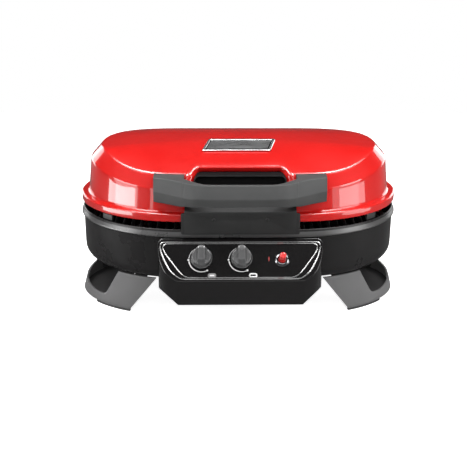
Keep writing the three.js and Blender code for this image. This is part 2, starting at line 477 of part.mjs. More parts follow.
add('handle_grip', handle, M.grey_plastic);
for (const [sx, nm] of [[-1, 'left'], [1, 'right']]) {
  add('handle_screw_' + nm, join(rod([sx * SCREW_X, -135, SCREW_Z], [sx * SCREW_X, -131, SCREW_Z], 5, 12), rod([sx * SCREW_X, -152, SCREW_Z], [sx * SCREW_X, -132, SCREW_Z], 2.4, 8)), M.steel);
}

// nameplate on the top of the lid
{
  const sh = new THREE.Shape();
  const w = 67, h = 25, r = 5;
  sh.moveTo(-w + r, -h); sh.lineTo(w - r, -h); sh.absarc(w - r, -h + r, r, -Math.PI / 2, 0); sh.lineTo(w, h - r); sh.absarc(w - r, h - r, r, 0, Math.PI / 2);
  sh.lineTo(-w + r, h); sh.absarc(-w + r, h - r, r, Math.PI / 2, Math.PI); sh.lineTo(-w, -h + r); sh.absarc(-w + r, -h + r, r, Math.PI, 1.5 * Math.PI);
  const g = new THREE.ExtrudeGeometry(sh, { depth: 2.6, bevelEnabled: false, curveSegments: 3 });
  g.rotateX(0.137);
  g.translate(0, -31, 317.6);
  add('nameplate', orient(g), M.aluminium);
}

// ---------- hinges ----------
for (const [sx, nm] of [[-1, 'left'], [1, 'right']]) {
  const c = sx * HINGE_X;
  const knuckle = (x0, x1) => rod([c + x0, HINGE_Y, HINGE_Z], [c + x1, HINGE_Y, HINGE_Z], HINGE_R, 16);
  const bore = (r) => rod([c - 30, HINGE_Y, HINGE_Z], [c + 30, HINGE_Y, HINGE_Z], r, 16);
  let base = join(box(c - 16, c + 16, RIM_B + GAP, RIM_B + 3.3, 148, 188), box(c - 16, c + 16, RIM_B - 4 + GAP, RIM_B + 1, 148, 178),
    box(c - 16, c - 8.4, RIM_B + GAP, HINGE_Y, 184, HINGE_Z), box(c + 8.4, c + 16, RIM_B + GAP, HINGE_Y, 184, HINGE_Z), knuckle(-16, -8.4), knuckle(8.4, 16));
  add('hinge_base_' + nm, cut(base, bore(PIN_R + 0.15)), M.steel);
  const lipY = LID_Y + LIP_B;
  let leaf = join(box(c - 15, c + 15, lipY + GAP, lipY + 3, LIP_BOT + 1, LIP_TOP - 0.5), box(c - 7.6, c + 7.6, lipY + GAP, HINGE_Y, LIP_BOT - 2, LIP_BOT + 4), box(c - 7.6, c + 7.6, HINGE_Y - 4, HINGE_Y, HINGE_Z, LIP_BOT + 4), knuckle(-7.6, 7.6));
  add('hinge_leaf_' + nm, cut(leaf, bore(PIN_R + 0.15)), M.steel);
  add('hinge_pin_' + nm, join(rod([c - 17.5, HINGE_Y, HINGE_Z], [c + 18, HINGE_Y, HINGE_Z], PIN_R, 14), rod([c - 20, HINGE_Y, HINGE_Z], [c - 16.4, HINGE_Y, HINGE_Z], 4.6, 14)), M.steel);
}

// spacer tabs that hold the lid above the rim at the front
for (const [sx, nm] of [[-1, 'left'], [1, 'right']]) {
  const g = new THREE.BoxGeometry(24, 5.5, LIP_BOT - RIM_TOP - 2 * GAP);
  g.rotateZ(sx * 0.685);
  g.translate(sx * 254.5, -108.2, (LIP_BOT + RIM_TOP) / 2);
  add('lid_spacer_' + nm, g, M.grey_plastic);
}

export default model;
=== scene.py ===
import json
import math
import bpy
import bmesh
import numpy as np
from mathutils import Vector, Matrix
from mathutils.bvhtree import BVHTree

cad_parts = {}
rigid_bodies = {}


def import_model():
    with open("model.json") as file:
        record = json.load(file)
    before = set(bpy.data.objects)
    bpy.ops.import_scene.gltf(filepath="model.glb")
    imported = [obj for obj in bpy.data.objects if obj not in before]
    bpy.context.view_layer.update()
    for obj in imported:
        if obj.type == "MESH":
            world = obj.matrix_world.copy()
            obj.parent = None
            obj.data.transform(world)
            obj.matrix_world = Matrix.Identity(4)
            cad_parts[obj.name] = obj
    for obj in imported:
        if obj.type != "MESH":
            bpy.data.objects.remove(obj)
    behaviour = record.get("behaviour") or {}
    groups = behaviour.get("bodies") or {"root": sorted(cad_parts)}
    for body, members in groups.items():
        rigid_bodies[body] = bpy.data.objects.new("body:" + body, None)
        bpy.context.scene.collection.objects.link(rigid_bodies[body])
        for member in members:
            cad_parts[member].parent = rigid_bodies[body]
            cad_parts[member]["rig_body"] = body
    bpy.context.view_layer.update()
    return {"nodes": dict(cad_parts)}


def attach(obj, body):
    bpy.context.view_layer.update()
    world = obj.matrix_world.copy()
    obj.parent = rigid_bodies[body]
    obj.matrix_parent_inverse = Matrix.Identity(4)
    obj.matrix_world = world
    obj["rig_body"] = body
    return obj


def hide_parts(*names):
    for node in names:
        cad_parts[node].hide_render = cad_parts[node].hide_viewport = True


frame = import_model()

NODES = frame["nodes"]
MM = 0.001
YS = 20.62            # the model's shift along Y, in millimetres
SCN = bpy.context.scene

# ---------------------------------------------------------------- camera
T = Vector((0, 0.02062, 0.180))
DIST, EL, AZ = 1.8, math.radians(20.2), math.radians(1.3)
cam_data = bpy.data.cameras.new("camera")
cam = bpy.data.objects.new("camera", cam_data)
SCN.collection.objects.link(cam)
cam.location = T + Vector((-math.sin(AZ) * math.cos(EL), -math.cos(AZ) * math.cos(EL), math.sin(EL))) * DIST
ROLL = math.radians(0.33)
cam.rotation_euler = (Matrix.Rotation(-AZ, 3, "Z") @ Matrix.Rotation(math.pi / 2 - EL, 3, "X") @ Matrix.Rotation(ROLL, 3, "Z")).to_euler()
cam_data.sensor_width = 36
cam_data.lens = 871.2 / 467 * 36
cam_data.shift_x = (233.5 - 238.5) / 467
cam_data.shift_y = (205.0 - 233.5) / 467
cam_data.clip_end = 50
SCN.camera = cam
SCN.view_settings.view_transform = "Standard"
SCN.view_settings.look = "None"


# ---------------------------------------------------------------- materials
def new_mat(name):
    m = bpy.data.materials.new(name)
    m.use_nodes = True
    nt = m.node_tree
    nt.nodes.clear()
    out = nt.nodes.new("ShaderNodeOutputMaterial")
    b = nt.nodes.new("ShaderNodeBsdfPrincipled")
    nt.links.new(b.outputs[0], out.inputs[0])
    return m, nt, b


def node(nt, kind, **kw):
    n = nt.nodes.new(kind)
    for k, v in kw.items():
        if k.startswith("i_"):
            key = k[2:]
            key = int(key) if key.isdigit() else key.replace("_", " ")
            n.inputs[key].default_value = v
        else:
            setattr(n, k, v)
    return n


def noise(nt, co, scale, detail=4.0, rough=0.55, stretch=None):
    if stretch:
        mp = node(nt, "ShaderNodeMapping")
        mp.inputs["Scale"].default_value = stretch
        nt.links.new(co, mp.inputs["Vector"])
        co = mp.outputs[0]
    n = nt.nodes.new("ShaderNodeTexNoise")
    n.inputs["Scale"].default_value = scale
    n.inputs["Detail"].default_value = detail
    n.inputs["Roughness"].default_value = rough
    nt.links.new(co, n.inputs["Vector"])
    return n.outputs["Fac"]


def ramp(nt, fac, stops):
    r = nt.nodes.new("ShaderNodeValToRGB")
    els = r.color_ramp.elements
    while len(els) < len(stops):
        els.new(0.5)
    for e, (p, c) in zip(els, stops):
        e.position = p
        e.color = (*c, 1) if len(c) == 3 else c
    nt.links.new(fac, r.inputs[0])
    return r.outputs[0]


def maprange(nt, fac, lo, hi, a=0.0, b=1.0):
    r = nt.nodes.new("ShaderNodeMapRange")
    r.inputs["From Min"].default_value = lo
    r.inputs["From Max"].default_value = hi
    r.inputs["To Min"].default_value = a
    r.inputs["To Max"].default_value = b
    nt.links.new(fac, r.inputs["Value"])
    return r.outputs[0]


def mixrgb(nt, fac, a, b):
    m = nt.nodes.new("ShaderNodeMix")
    m.data_type = "RGBA"
    for sock, v in ((m.inputs[0], fac), (m.inputs[6], a), (m.inputs[7], b)):
        if isinstance(v, bpy.types.NodeSocket):
            nt.links.new(v, sock)
        else:
            sock.default_value = v if isinstance(v, float) else (*v, 1)
    return m.outputs[2]


def bump(nt, bsdf, pairs, coat=False):
    """pairs of (height socket, strength, distance in metres), chained."""
    prev = None
    for h, s, d in pairs:
        n = nt.nodes.new("ShaderNodeBump")
        n.inputs["Strength"].default_value = s
        n.inputs["Distance"].default_value = d
        nt.links.new(h, n.inputs["Height"])
        if prev:
            nt.links.new(prev, n.inputs["Normal"])
        prev = n.outputs[0]
    nt.links.new(prev, bsdf.inputs["Normal"])
    if coat:
        nt.links.new(prev, bsdf.inputs["Coat Normal"])


def objco(nt):
    return nt.nodes.new("ShaderNodeTexCoord").outputs["Object"]


MATS = {}


def enamel(name, c_lo, c_hi, rough, coat, peel=0.06, grain=0.0, spec=0.5):
    m, nt, b = new_mat(name)
    co = objco(nt)
    big = noise(nt, co, 3.5, 3)
    fine = noise(nt, co, 380, 2)
    smudge = noise(nt, co, 14, 5, 0.6)
    nt.links.new(ramp(nt, big, [(0.3, c_lo), (0.7, c_hi)]), b.inputs["Base Color"])
    nt.links.new(maprange(nt, smudge, 0.35, 0.75, rough * 0.85, rough * 1.35), b.inputs["Roughness"])
    b.inputs["Coat Weight"].default_value = coat
    b.inputs["Coat Roughness"].default_value = 0.02
    b.inputs["Specular IOR Level"].default_value = spec
    pairs = [(noise(nt, co, 62, 1), peel, 0.0012)]
    if grain:
        pairs.append((fine, grain, 0.0004))
    bump(nt, b, pairs, coat=False)
    MATS[name] = m
    return m, nt, b


def moulded(name, c_lo, c_hi, r_lo, r_hi, grain=0.25, scale=900.0, coat=0.0, spec=0.5):
    """Moulded plastic with a spark-eroded grain, faint flow marks and handling wear."""
    m, nt, b = new_mat(name)
    co = objco(nt)
    vor = node(nt, "ShaderNodeTexVoronoi")
    vor.inputs["Scale"].default_value = scale
    nt.links.new(co, vor.inputs["Vector"])
    big = noise(nt, co, 9, 4, 0.6)
    flow = noise(nt, co, 26, 3, 0.5, (1, 1, 0.15))
    nt.links.new(ramp(nt, big, [(0.28, c_lo), (0.72, c_hi)]), b.inputs["Base Color"])
    nt.links.new(maprange(nt, flow, 0.3, 0.7, r_lo, r_hi), b.inputs["Roughness"])
    b.inputs["Coat Weight"].default_value = coat
    b.inputs["Coat Roughness"].default_value = 0.12
    b.inputs["Specular IOR Level"].default_value = spec
    bump(nt, b, [(vor.outputs["Distance"], grain, 0.0003), (noise(nt, co, 45, 2), grain * 0.3, 0.0008)])
    MATS[name] = m
    return m, nt, b


def metal(name, c_lo, c_hi, r_lo, r_hi, stretch=(1, 1, 1), scale=240.0, grain=0.12, spots=None):
    m, nt, b = new_mat(name)
    co = objco(nt)
    line = noise(nt, co, scale, 5, 0.65, stretch)
    big = noise(nt, co, 22, 4, 0.6)
    col = ramp(nt, big, [(0.3, c_lo), (0.7, c_hi)])
    if spots:
        col = mixrgb(nt, maprange(nt, noise(nt, co, spots[1], 5, 0.7), 0.5, 0.72), col, spots[0])
    nt.links.new(col, b.inputs["Base Color"])
    nt.links.new(maprange(nt, line, 0.3, 0.7, r_lo, r_hi), b.inputs["Roughness"])
    b.inputs["Metallic"].default_value = 1.0
    bump(nt, b, [(line, grain, 0.0002)])
    MATS[name] = m
    return m, nt, b


enamel("red_enamel", (0.565, 0.0045, 0.0032), (0.63, 0.0065, 0.0045), 0.38, 1.0, 0.02, 0.0, 0.12)
enamel("black_enamel", (0.0158, 0.0151, 0.0154), (0.0168, 0.0160, 0.0163), 0.30, 0.0, 0.04, 0.08, 0.20)
# painted highlight: the firebox rim band is a lighter grey than the black wall, a painted highlight of the front light
# on a satin rim
enamel("rim_painted_highlight", (0.054, 0.054, 0.054), (0.066, 0.065, 0.065), 0.30, 0.0, 0.06, 0.20, 0.55)
enamel("gloss_black", (0.0062, 0.0058, 0.006), (0.0082, 0.0077, 0.0079), 0.22, 1.0, 0.01, 0.0, 0.04)
enamel("bead_gloss", (0.0062, 0.0058, 0.006), (0.0082, 0.0077, 0.0079), 0.10, 1.0, 0.01, 0.0, 1.0)
MATS["bead_gloss"].node_tree.nodes["Principled BSDF"].inputs["Coat IOR"].default_value = 2.6
moulded("black_plastic", (0.019, 0.019, 0.019), (0.025, 0.025, 0.025), 0.42, 0.55, 0.22, 900, 0.0, 0.25)
# painted shade: this near-black is laid on the bezel's pocket and on the lit top of its frame; on the nameplate it is
# the plate's dark frame
moulded("pocket_shade_and_frame_black", (0.0055, 0.0055, 0.006), (0.0075, 0.0075, 0.008), 0.6, 0.72, 0.22, 900, 0.0, 0.06)
moulded("grey_plastic", (0.062, 0.063, 0.063), (0.072, 0.073, 0.073), 0.48, 0.60, 0.30, 900, 0.0, 0.15)
moulded("leg_plastic", (0.138, 0.137, 0.138), (0.158, 0.157, 0.158), 0.46, 0.60, 0.30, 800, 0.0, 0.3)
# painted shade: dark grey for the legs' inner faces and floor sheet, where shade falls under the firebox
moulded("leg_inner_painted_shade", (0.045, 0.044, 0.045), (0.060, 0.058, 0.059), 0.6, 0.75, 0.30, 800, 0.0, 0.15)
moulded("knob_plastic", (0.062, 0.062, 0.063), (0.078, 0.078, 0.079), 0.22, 0.30, 0.08, 900, 0.35, 0.5)
moulded("red_plastic", (0.66, 0.018, 0.018), (0.74, 0.026, 0.024), 0.18, 0.28, 0.05, 900, 0.4)
moulded("rubber", (0.018, 0.018, 0.018), (0.026, 0.026, 0.026), 0.7, 0.85, 0.5, 500)
metal("chrome", (0.16, 0.16, 0.165), (0.20, 0.20, 0.205), 0.05, 0.10, (1, 1, 1), 60, 0.02)
metal("steel", (0.42, 0.42, 0.41), (0.54, 0.54, 0.53), 0.24, 0.40, (1, 14, 14), 160, 0.10)
metal("burner_steel", (0.30, 0.27, 0.23), (0.42, 0.40, 0.38), 0.36, 0.55, (1, 8, 8), 200, 0.15, ((0.12, 0.10, 0.14), 40))
metal("brass", (0.52, 0.36, 0.10), (0.62, 0.45, 0.15), 0.22, 0.36, (1, 1, 1), 300, 0.08)
metal("aluminium", (0.60, 0.60, 0.61), (0.70, 0.70, 0.70), 0.24, 0.36, (0.08, 1, 1), 420, 0.15)
moulded("ceramic", (0.72, 0.69, 0.62), (0.80, 0.77, 0.70), 0.2, 0.3, 0.04, 400)
moulded("print_white", (0.70, 0.70, 0.70), (0.82, 0.82, 0.82), 0.42, 0.5, 0.05, 900)
moulded("print_grey", (0.16, 0.16, 0.16), (0.20, 0.20, 0.20), 0.42, 0.5, 0.05, 900)
moulded("print_red", (0.42, 0.02, 0.02), (0.50, 0.03, 0.02), 0.42, 0.5, 0.05, 900)


def cast_iron():
    m, nt, b = new_mat("cast_iron")
    co = objco(nt)
    pit = noise(nt, co, 420, 6, 0.7)
    big = noise(nt, co, 16, 4, 0.6)
    nt.links.new(ramp(nt, big, [(0.3, (0.007, 0.0068, 0.0066)), (0.7, (0.012, 0.0115, 0.011))]), b.inputs["Base Color"])
    nt.links.new(maprange(nt, pit, 0.3, 0.7, 0.42, 0.72), b.inputs["Roughness"])
    b.inputs["Specular IOR Level"].default_value = 0.15
    bump(nt, b, [(pit, 0.45, 0.0006), (big, 0.2, 0.001)])
    MATS["cast_iron"] = m


cast_iron()


# ---------------------------------------------------------------- mesh helpers (all numbers in millimetres)
def W(p):
    return (p[0] * MM, (p[1] + YS) * MM, p[2] * MM)


def mesh_of(name, verts, faces):
    me = bpy.data.meshes.new(name)
    me.from_pydata([W(v) for v in verts], [], faces)
    bm = bmesh.new()
    bm.from_mesh(me)
    bmesh.ops.remove_doubles(bm, verts=bm.verts, dist=2e-6)
    bmesh.ops.recalc_face_normals(bm, faces=bm.faces)
    bm.to_mesh(me)
    bm.free()
    ob = bpy.data.objects.new(name, me)
    SCN.collection.objects.link(ob)
    return ob


def loft(name, rings, closed=False, caps=True):
    n = len(rings[0])
    verts = [tuple(p) for r in rings for p in r]
    faces = []
    m = len(rings)
    for k in range(m if closed else m - 1):
        a, b = k * n, ((k + 1) % m) * n
        for i in range(n):
            j = (i + 1) % n
            faces.append((a + i, a + j, b + j, b + i))
    if not closed and caps:
        for k in (0, m - 1):
            c = np.mean(np.array(rings[k], float), axis=0)
            ci = len(verts)
            verts.append(tuple(c))
            for i in range(n):
                faces.append((k * n + i, k * n + (i + 1) % n, ci))
    return mesh_of(name, verts, faces)


def prism(name, poly, axis, lo, hi):
    """poly is a closed outline: (y, z) for axis x, (x, z) for axis y, (x, y) for axis z."""
    put = {"x": lambda p, t: (t, p[0], p[1]), "y": lambda p, t: (p[0], t, p[1]), "z": lambda p, t: (p[0], p[1], t)}[axis]
    n = len(poly)
    verts = [put(p, lo) for p in poly] + [put(p, hi) for p in poly]
    faces = [tuple(range(n)), tuple(range(n, 2 * n))] + [(i, (i + 1) % n, n + (i + 1) % n, n + i) for i in range(n)]
    return mesh_of(name, verts, faces)


def boxm(name, x0, x1, y0, y1, z0, z1):
    return prism(name, [(x0, y0), (x1, y0), (x1, y1), (x0, y1)], "z", z0, z1)


def fillet(poly, radii, seg=6, closed=True):
    """Rounds each corner of a polygon; radii is one number or one for each corner."""
    out = []
    n = len(poly)
    P = [np.array(p, float) for p in poly]
    for i in range(n):
        r = radii[i] if isinstance(radii, (list, tuple)) else radii
        if r <= 0 or (not closed and i in (0, n - 1)):
            out.append(tuple(P[i]))
            continue
        a, c, b = P[i - 1], P[i], P[(i + 1) % n]
        u, v = a - c, b - c
        lu, lv = np.linalg.norm(u), np.linalg.norm(v)
        u, v = u / lu, v / lv
        ang = math.acos(max(-1, min(1, float(np.dot(u, v)))))
        if ang > math.pi - 0.02:
            out.append(tuple(c))
            continue
        d = min(r / math.tan(ang / 2), lu * 0.48, lv * 0.48)
        rr = d * math.tan(ang / 2)
        w = (u + v) / np.linalg.norm(u + v)
        ctr = c + w * (rr / math.sin(ang / 2))
        p0, p1 = c + u * d, c + v * d
        a0, a1 = p0 - ctr, p1 - ctr
        t0, t1 = math.atan2(a0[1], a0[0]), math.atan2(a1[1], a1[0])
        dt = (t1 - t0 + math.pi) % (2 * math.pi) - math.pi
        for k in range(seg + 1):
            t = t0 + dt * k / seg
            out.append((ctr[0] + rr * math.cos(t), ctr[1] + rr * math.sin(t)))
    return out


def frame_of(dirv):
    d = Vector(dirv).normalized()
    up = Vector((0, 0, 1)) if abs(d.z) < 0.9 else Vector((1, 0, 0))
    u = d.cross(up).normalized()
    v = d.cross(u).normalized()
    return u, v, d


def lathe(name, profile, at, dirv, seg=64, closed=False):
    """profile of (radius, height) along dirv from the point at."""
    u, v, d = frame_of(dirv)
    at = Vector(at)
    rings = []
    for r, h in profile:
        rings.append([tuple(at + d * h + (u * math.cos(2 * math.pi * i / seg) + v * math.sin(2 * math.pi * i / seg)) * max(r, 1e-4)) for i in range(seg)])
    return loft(name, rings, closed=closed)


def rod(name, p, q, r, seg=40, ch=0.35):
    p, q = Vector(p), Vector(q)
    L = (q - p).length
    ch = min(ch, r * 0.4, L * 0.3)
    return lathe(name, [(0, 0), (r - ch, 0), (r - ch * 0.3, ch * 0.3), (r, ch), (r, L - ch), (r - ch * 0.3, L - ch * 0.3), (r - ch, L), (0, L)], p, q - p, seg)


def tube(name, pts, r, seg=20, closed=False, squash=1.0):
    """Round tube through the points, with even frames."""
    P = [Vector(p) for p in pts]
    n = len(P)
    rings = []
    prev = None
    for i in range(n):
        if closed:
            d = (P[(i + 1) % n] - P[i - 1]).normalized()
        else:
            d = (P[min(i + 1, n - 1)] - P[max(i - 1, 0)]).normalized()
        if prev is None:
            u = d.cross(Vector((0, 0, 1)))
            if u.length < 1e-3:
                u = d.cross(Vector((1, 0, 0)))
            u.normalize()
        else:
            u = (prev - d * prev.dot(d)).normalized()
        prev = u
        v = d.cross(u).normalized()
        rr = r[i] if isinstance(r, (list, tuple)) else r
        rings.append([tuple(P[i] + (u * math.cos(2 * math.pi * k / seg) + v * (squash * math.sin(2 * math.pi * k / seg))) * rr) for k in range(seg)])
    return loft(name, rings, closed=closed)


def spline(pts, steps=12, closed=False):
    """Catmull-Rom through the points."""
    P = [np.array(p, float) for p in pts]
    n = len(P)
    out = []
    for i in range(n if closed else n - 1):
        p0 = P[i - 1] if (closed or i > 0) else 2 * P[0] - P[1]
        p1, p2 = P[i], P[(i + 1) % n]
        p3 = P[(i + 2) % n] if (closed or i + 2 < n) else 2 * P[-1] - P[-2]
        for k in range(steps):
            t = k / steps
            out.append(tuple(0.5 * ((2 * p1) + (-p0 + p2) * t + (2 * p0 - 5 * p1 + 4 * p2 - p3) * t * t + (-p0 + 3 * p1 - 3 * p2 + p3) * t ** 3)))
    if not closed:
        out.append(tuple(P[-1]))
    return out


def apply_mods(ob):
    bpy.context.view_layer.update()
    dg = bpy.context.evaluated_depsgraph_get()
    me = bpy.data.meshes.new_from_object(ob.evaluated_get(dg))
    old = ob.data
    ob.modifiers.clear()
    ob.data = me
    bpy.data.meshes.remove(old)
    return ob


def boolean(ob, cutter, op="DIFFERENCE"):
    m = ob.modifiers.new("b", "BOOLEAN")
    m.object, m.operation, m.solver = cutter, op, "EXACT"
    apply_mods(ob)
    bpy.data.objects.remove(cutter)
    return ob


def bevel(ob, width, seg=3, angle=35, apply=True):
    m = ob.modifiers.new("bevel", "BEVEL")
    m.width, m.segments, m.limit_method, m.angle_limit = width * MM, seg, "ANGLE", math.radians(angle)
    m.use_clamp_overlap = True
    m.miter_outer = "MITER_SHARP"
    if apply:
        apply_mods(ob)
    return ob


def join(first, *rest):
    """Merges the meshes into the first object."""
    bm = bmesh.new()
    base = len(first.data.materials)
    bm.from_mesh(first.data)
    for o in rest:
        offset = len(first.data.materials)
        for m in o.data.materials:
            first.data.materials.append(m)
        start = len(bm.faces)
        bm.from_mesh(o.data)
        bm.faces.ensure_lookup_table()
        for f in bm.faces[start:]:
            f.material_index += offset
        bpy.data.objects.remove(o)
    bm.to_mesh(first.data)
    bm.free()
    return first


def dress(ob, mat, angle=38):
    ob.data.materials.clear()
    ob.data.materials.append(MATS[mat])
    for p in ob.data.polygons:
        p.material_index = 0
        p.use_smooth = True
    ob.data.set_sharp_from_angle(angle=math.radians(angle))
    return ob


def put(ob, body, slot=None, replaces=(), mat=None, angle=38):
    if mat:
        dress(ob, mat, angle)
    else:
        for p in ob.data.polygons:
            p.use_smooth = True
        ob.data.set_sharp_from_angle(angle=math.radians(angle))
    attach(ob, body)
    if replaces:
        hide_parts(*replaces)
    return ob


# ---------------------------------------------------------------- shared shapes
S = 108.0


def outline(a, b, s=S, n=2.0, q=44, f=26):
    P = []

    def at(t, sx):
        e = 2 / n if math.sin(t) > 0 else 1
        return (sx * (s + (a - s) * abs(math.cos(t)) ** e), math.copysign(b * abs(math.sin(t)) ** e, math.sin(t)))
    for i in range(2 * q):
        P.append(at(-math.pi / 2 + math.pi * i / (2 * q), 1))
    for i in range(f):
        P.append((s - 2 * s * i / f, b))
    for i in range(2 * q):
        P.append(at(math.pi / 2 + math.pi * i / (2 * q), -1))
    for i in range(f):
        P.append((-s + 2 * s * i / f, -b))
    return P


def ring(a, b, z, y0=0.0, n=2.0, **kw):
    return [(x, y + y0, z(y / b) if callable(z) else z) for x, y in outline(a, b, S, n, **kw)]


def round_profile(rings, dist, seg=4):
    """Rounds the corners that a stack of rings makes: each ring k is replaced by seg+1 rings within dist[k]."""
    R = [np.array(r, float) for r in rings]
    out = []
    for k, r in enumerate(R):
        d = dist[k]
        if d <= 0 or k in (0, len(R) - 1):
            out.append(r)
            continue
        a, b = R[k - 1] - r, R[k + 1] - r
        la, lb = np.linalg.norm(a, axis=1, keepdims=True), np.linalg.norm(b, axis=1, keepdims=True)
        pa = r + a / np.maximum(la, 1e-6) * np.minimum(d, la * 0.47)
        pb = r + b / np.maximum(lb, 1e-6) * np.minimum(d, lb * 0.47)
        for i in range(seg + 1):
            t = i / seg
            out.append((1 - t) ** 2 * pa + 2 * t * (1 - t) * r + t * t * pb)
    return [[tuple(p) for p in r] for r in out]


def smooth(lo, hi, t):
    u = min(1, max(0, (t - lo) / (hi - lo)))
    return u * u * (3 - 2 * u)


# ---------------------------------------------------------------- lid
LID_Y, LIP_BOT, LIP_TOP, LID_T = 4.0, 203.0, 217.0, 2.5
C1A, C1B, C2A, C2B, REAR_N = 274.0, 127.0, 297.0, 144.0, 2.35


def zC2(t):
    return 288 - (27 * smooth(0.2, 1.05, -t) if t < 0 else 5 * t ** 4)


def zC1(t):
    return 313.8 - (24.8 * smooth(0.28, 1, -t) if t < 0 else 5 * t ** 4)


def dome_ring(rho, drop=0.0):
    out = []
    for x, y, z in ring(C1A, C1B, zC1, 0, REAR_N):
        t = abs(y) / C1B
        p = 3.4 - 1.2 * t * t
        h = z + (320.5 - z) * (1 - rho ** p)
        out.append((x * rho, y * rho + LID_Y + (20 - LID_Y) * (1 - rho), h - drop))
    return out


outer = [
    ring(316.8, 157.3, LIP_BOT, LID_Y), ring(319, 159.5, LIP_BOT, LID_Y), ring(319, 159.5, LIP_TOP, LID_Y), ring(316, 156.5, LIP_TOP + 2, LID_Y),
    ring(306.2, 148.2, LIP_TOP + 2, LID_Y), ring(304, 147, LIP_TOP + 4.6, LID_Y),
    ring(C2A, C2B, lambda t: zC2(t), LID_Y, 2.15), ring(C2A - 3, C2B - 2.6, lambda t: zC2(t) + 4, LID_Y, 2.15),
    ring(C1A + 3, C1B + 3, lambda t: zC1(t) - 2.6, LID_Y, REAR_N), dome_ring(1.0), dome_ring(0.972)]
outer = round_profile(outer, [0, 1.6, 2.2, 2.0, 2.0, 3.4, 4.6, 4.6, 4.0, 4.0, 0], 4)
for rho in (0.94, 0.9, 0.86, 0.8, 0.74, 0.67, 0.6, 0.52, 0.44, 0.35, 0.26, 0.17, 0.08, 0.02):
    outer.append(dome_ring(rho))
inner = [ring(319 - LID_T, 159.5 - LID_T, LIP_BOT, LID_Y), ring(319 - LID_T, 159.5 - LID_T, LIP_TOP - LID_T + 1, LID_Y),
         ring(304 - LID_T, 147 - LID_T, LIP_TOP - LID_T + 2, LID_Y), ring(C2A - LID_T, C2B - LID_T, lambda t: zC2(t) - 1, LID_Y, 2.15),
         ring(C1A, C1B, lambda t: zC1(t) - LID_T - 2.4, LID_Y, REAR_N)]
for rho in (0.9, 0.8, 0.7, 0.52, 0.35, 0.17, 0.02):
    inner.append(dome_ring(rho, LID_T))
lid = loft("lid_enamel", outer[::-1] + inner)
tmp = bmesh.new()
tmp.from_mesh(lid.data)
LID_BVH = BVHTree.FromBMesh(tmp)
tmp.free()


def lid_front(x, z):
    """Y of the lid's front surface, before the opening is cut."""
    hit = LID_BVH.ray_cast(Vector((x * MM, -0.4, z * MM)), Vector((0, 1, 0)))
    return hit[0].y / MM - YS if hit[0] else None


NX, NT, NR = 99.5, 295.4, 24.0
notch = fillet([(-NX, 186), (NX, 186), (NX, NT), (-NX, NT)], [0, 0, NR, NR], 10)
boolean(lid, prism("cut", notch, "y", -200, -101.5))
put(lid, "lid", "red_enamel", ("lid_shell",), "red_enamel", 50)

# rolled edge round the opening in the front of the lid
path = fillet([(-NX - 2.6, 236), (-NX - 2.6, NT + 2.6), (NX + 2.6, NT + 2.6), (NX + 2.6, 236)], [0, NR + 3, NR + 3, 0], 14, closed=False)
dense = []
for (x0, z0), (x1, z1) in zip(path[:-1], path[1:]):
    steps = max(1, int(math.hypot(x1 - x0, z1 - z0) / 4))
    dense += [(x0 + (x1 - x0) * k / steps, z0 + (z1 - z0) * k / steps) for k in range(steps)]
dense.append(path[-1])
lid_front_ok = all(lid_front(x, z) is not None for x, z in dense)
rim_pts = []
for x, z in dense:
    y = lid_front(x, z)
    rim_pts.append((x, y - 0.3, z))
# the pressed edge: a small outer swell, then a rounded wall that turns in and back
SW = 14.0
rings_r = []
n_r = len(rim_pts)
for i in range(n_r):
    x, y, z = rim_pts[i]
    a, b = rim_pts[max(0, i - 1)], rim_pts[min(n_r - 1, i + 1)]
    t = np.array([b[0] - a[0], b[2] - a[2]])
    t = t / np.linalg.norm(t)
    inn = np.array([t[1], -t[0]])
    if np.dot(inn, np.array([-x, 230.0 - z])) < 0:
        inn = -inn
    if abs(t[1]) > 0.999:
        inn = np.array([-math.copysign(1, x), 0.0])
    slope_y = max(-3.0, min(3.0, lid_front(x, z + 1.0) - lid_front(x, z - 1.0)))
    sec = [(-5.2, 0.9), (-4.6, -0.2), (-3.4, -1.3), (-1.8, -2.1), (0.0, -2.2), (2.2, -1.3)]
    for k in range(1, 9):
        th = math.pi / 2 * k / 8
        sec.append((2.2 + (SW - 2.2) * math.sin(th), -1.3 + 9.5 * (1 - math.cos(th))))
    sec += [(SW + 0.1, 16), (SW - 1.6, 16)]
    for k in range(8, 0, -1):
        th = math.pi / 2 * k / 8
        sec.append((2.2 + (SW - 3.8) * math.sin(th), 0.6 + 9.5 * (1 - math.cos(th))))
    sec += [(0.0, 1.0), (-3.0, 1.6)]
    pts = []
    for d, h in sec:
        px, pz = x + inn[0] * d, z + inn[1] * d
        py = y + h + (slope_y * 0.5 * inn[1] * d if d < 0 else slope_y * 0.5 * inn[1] * min(d, 2.2))
        pts.append((px, py, pz))
    rings_r.append(pts)
rim = loft("lid_opening_edge", rings_r)
put(rim, "lid", "red_enamel", (), "red_enamel", 70)

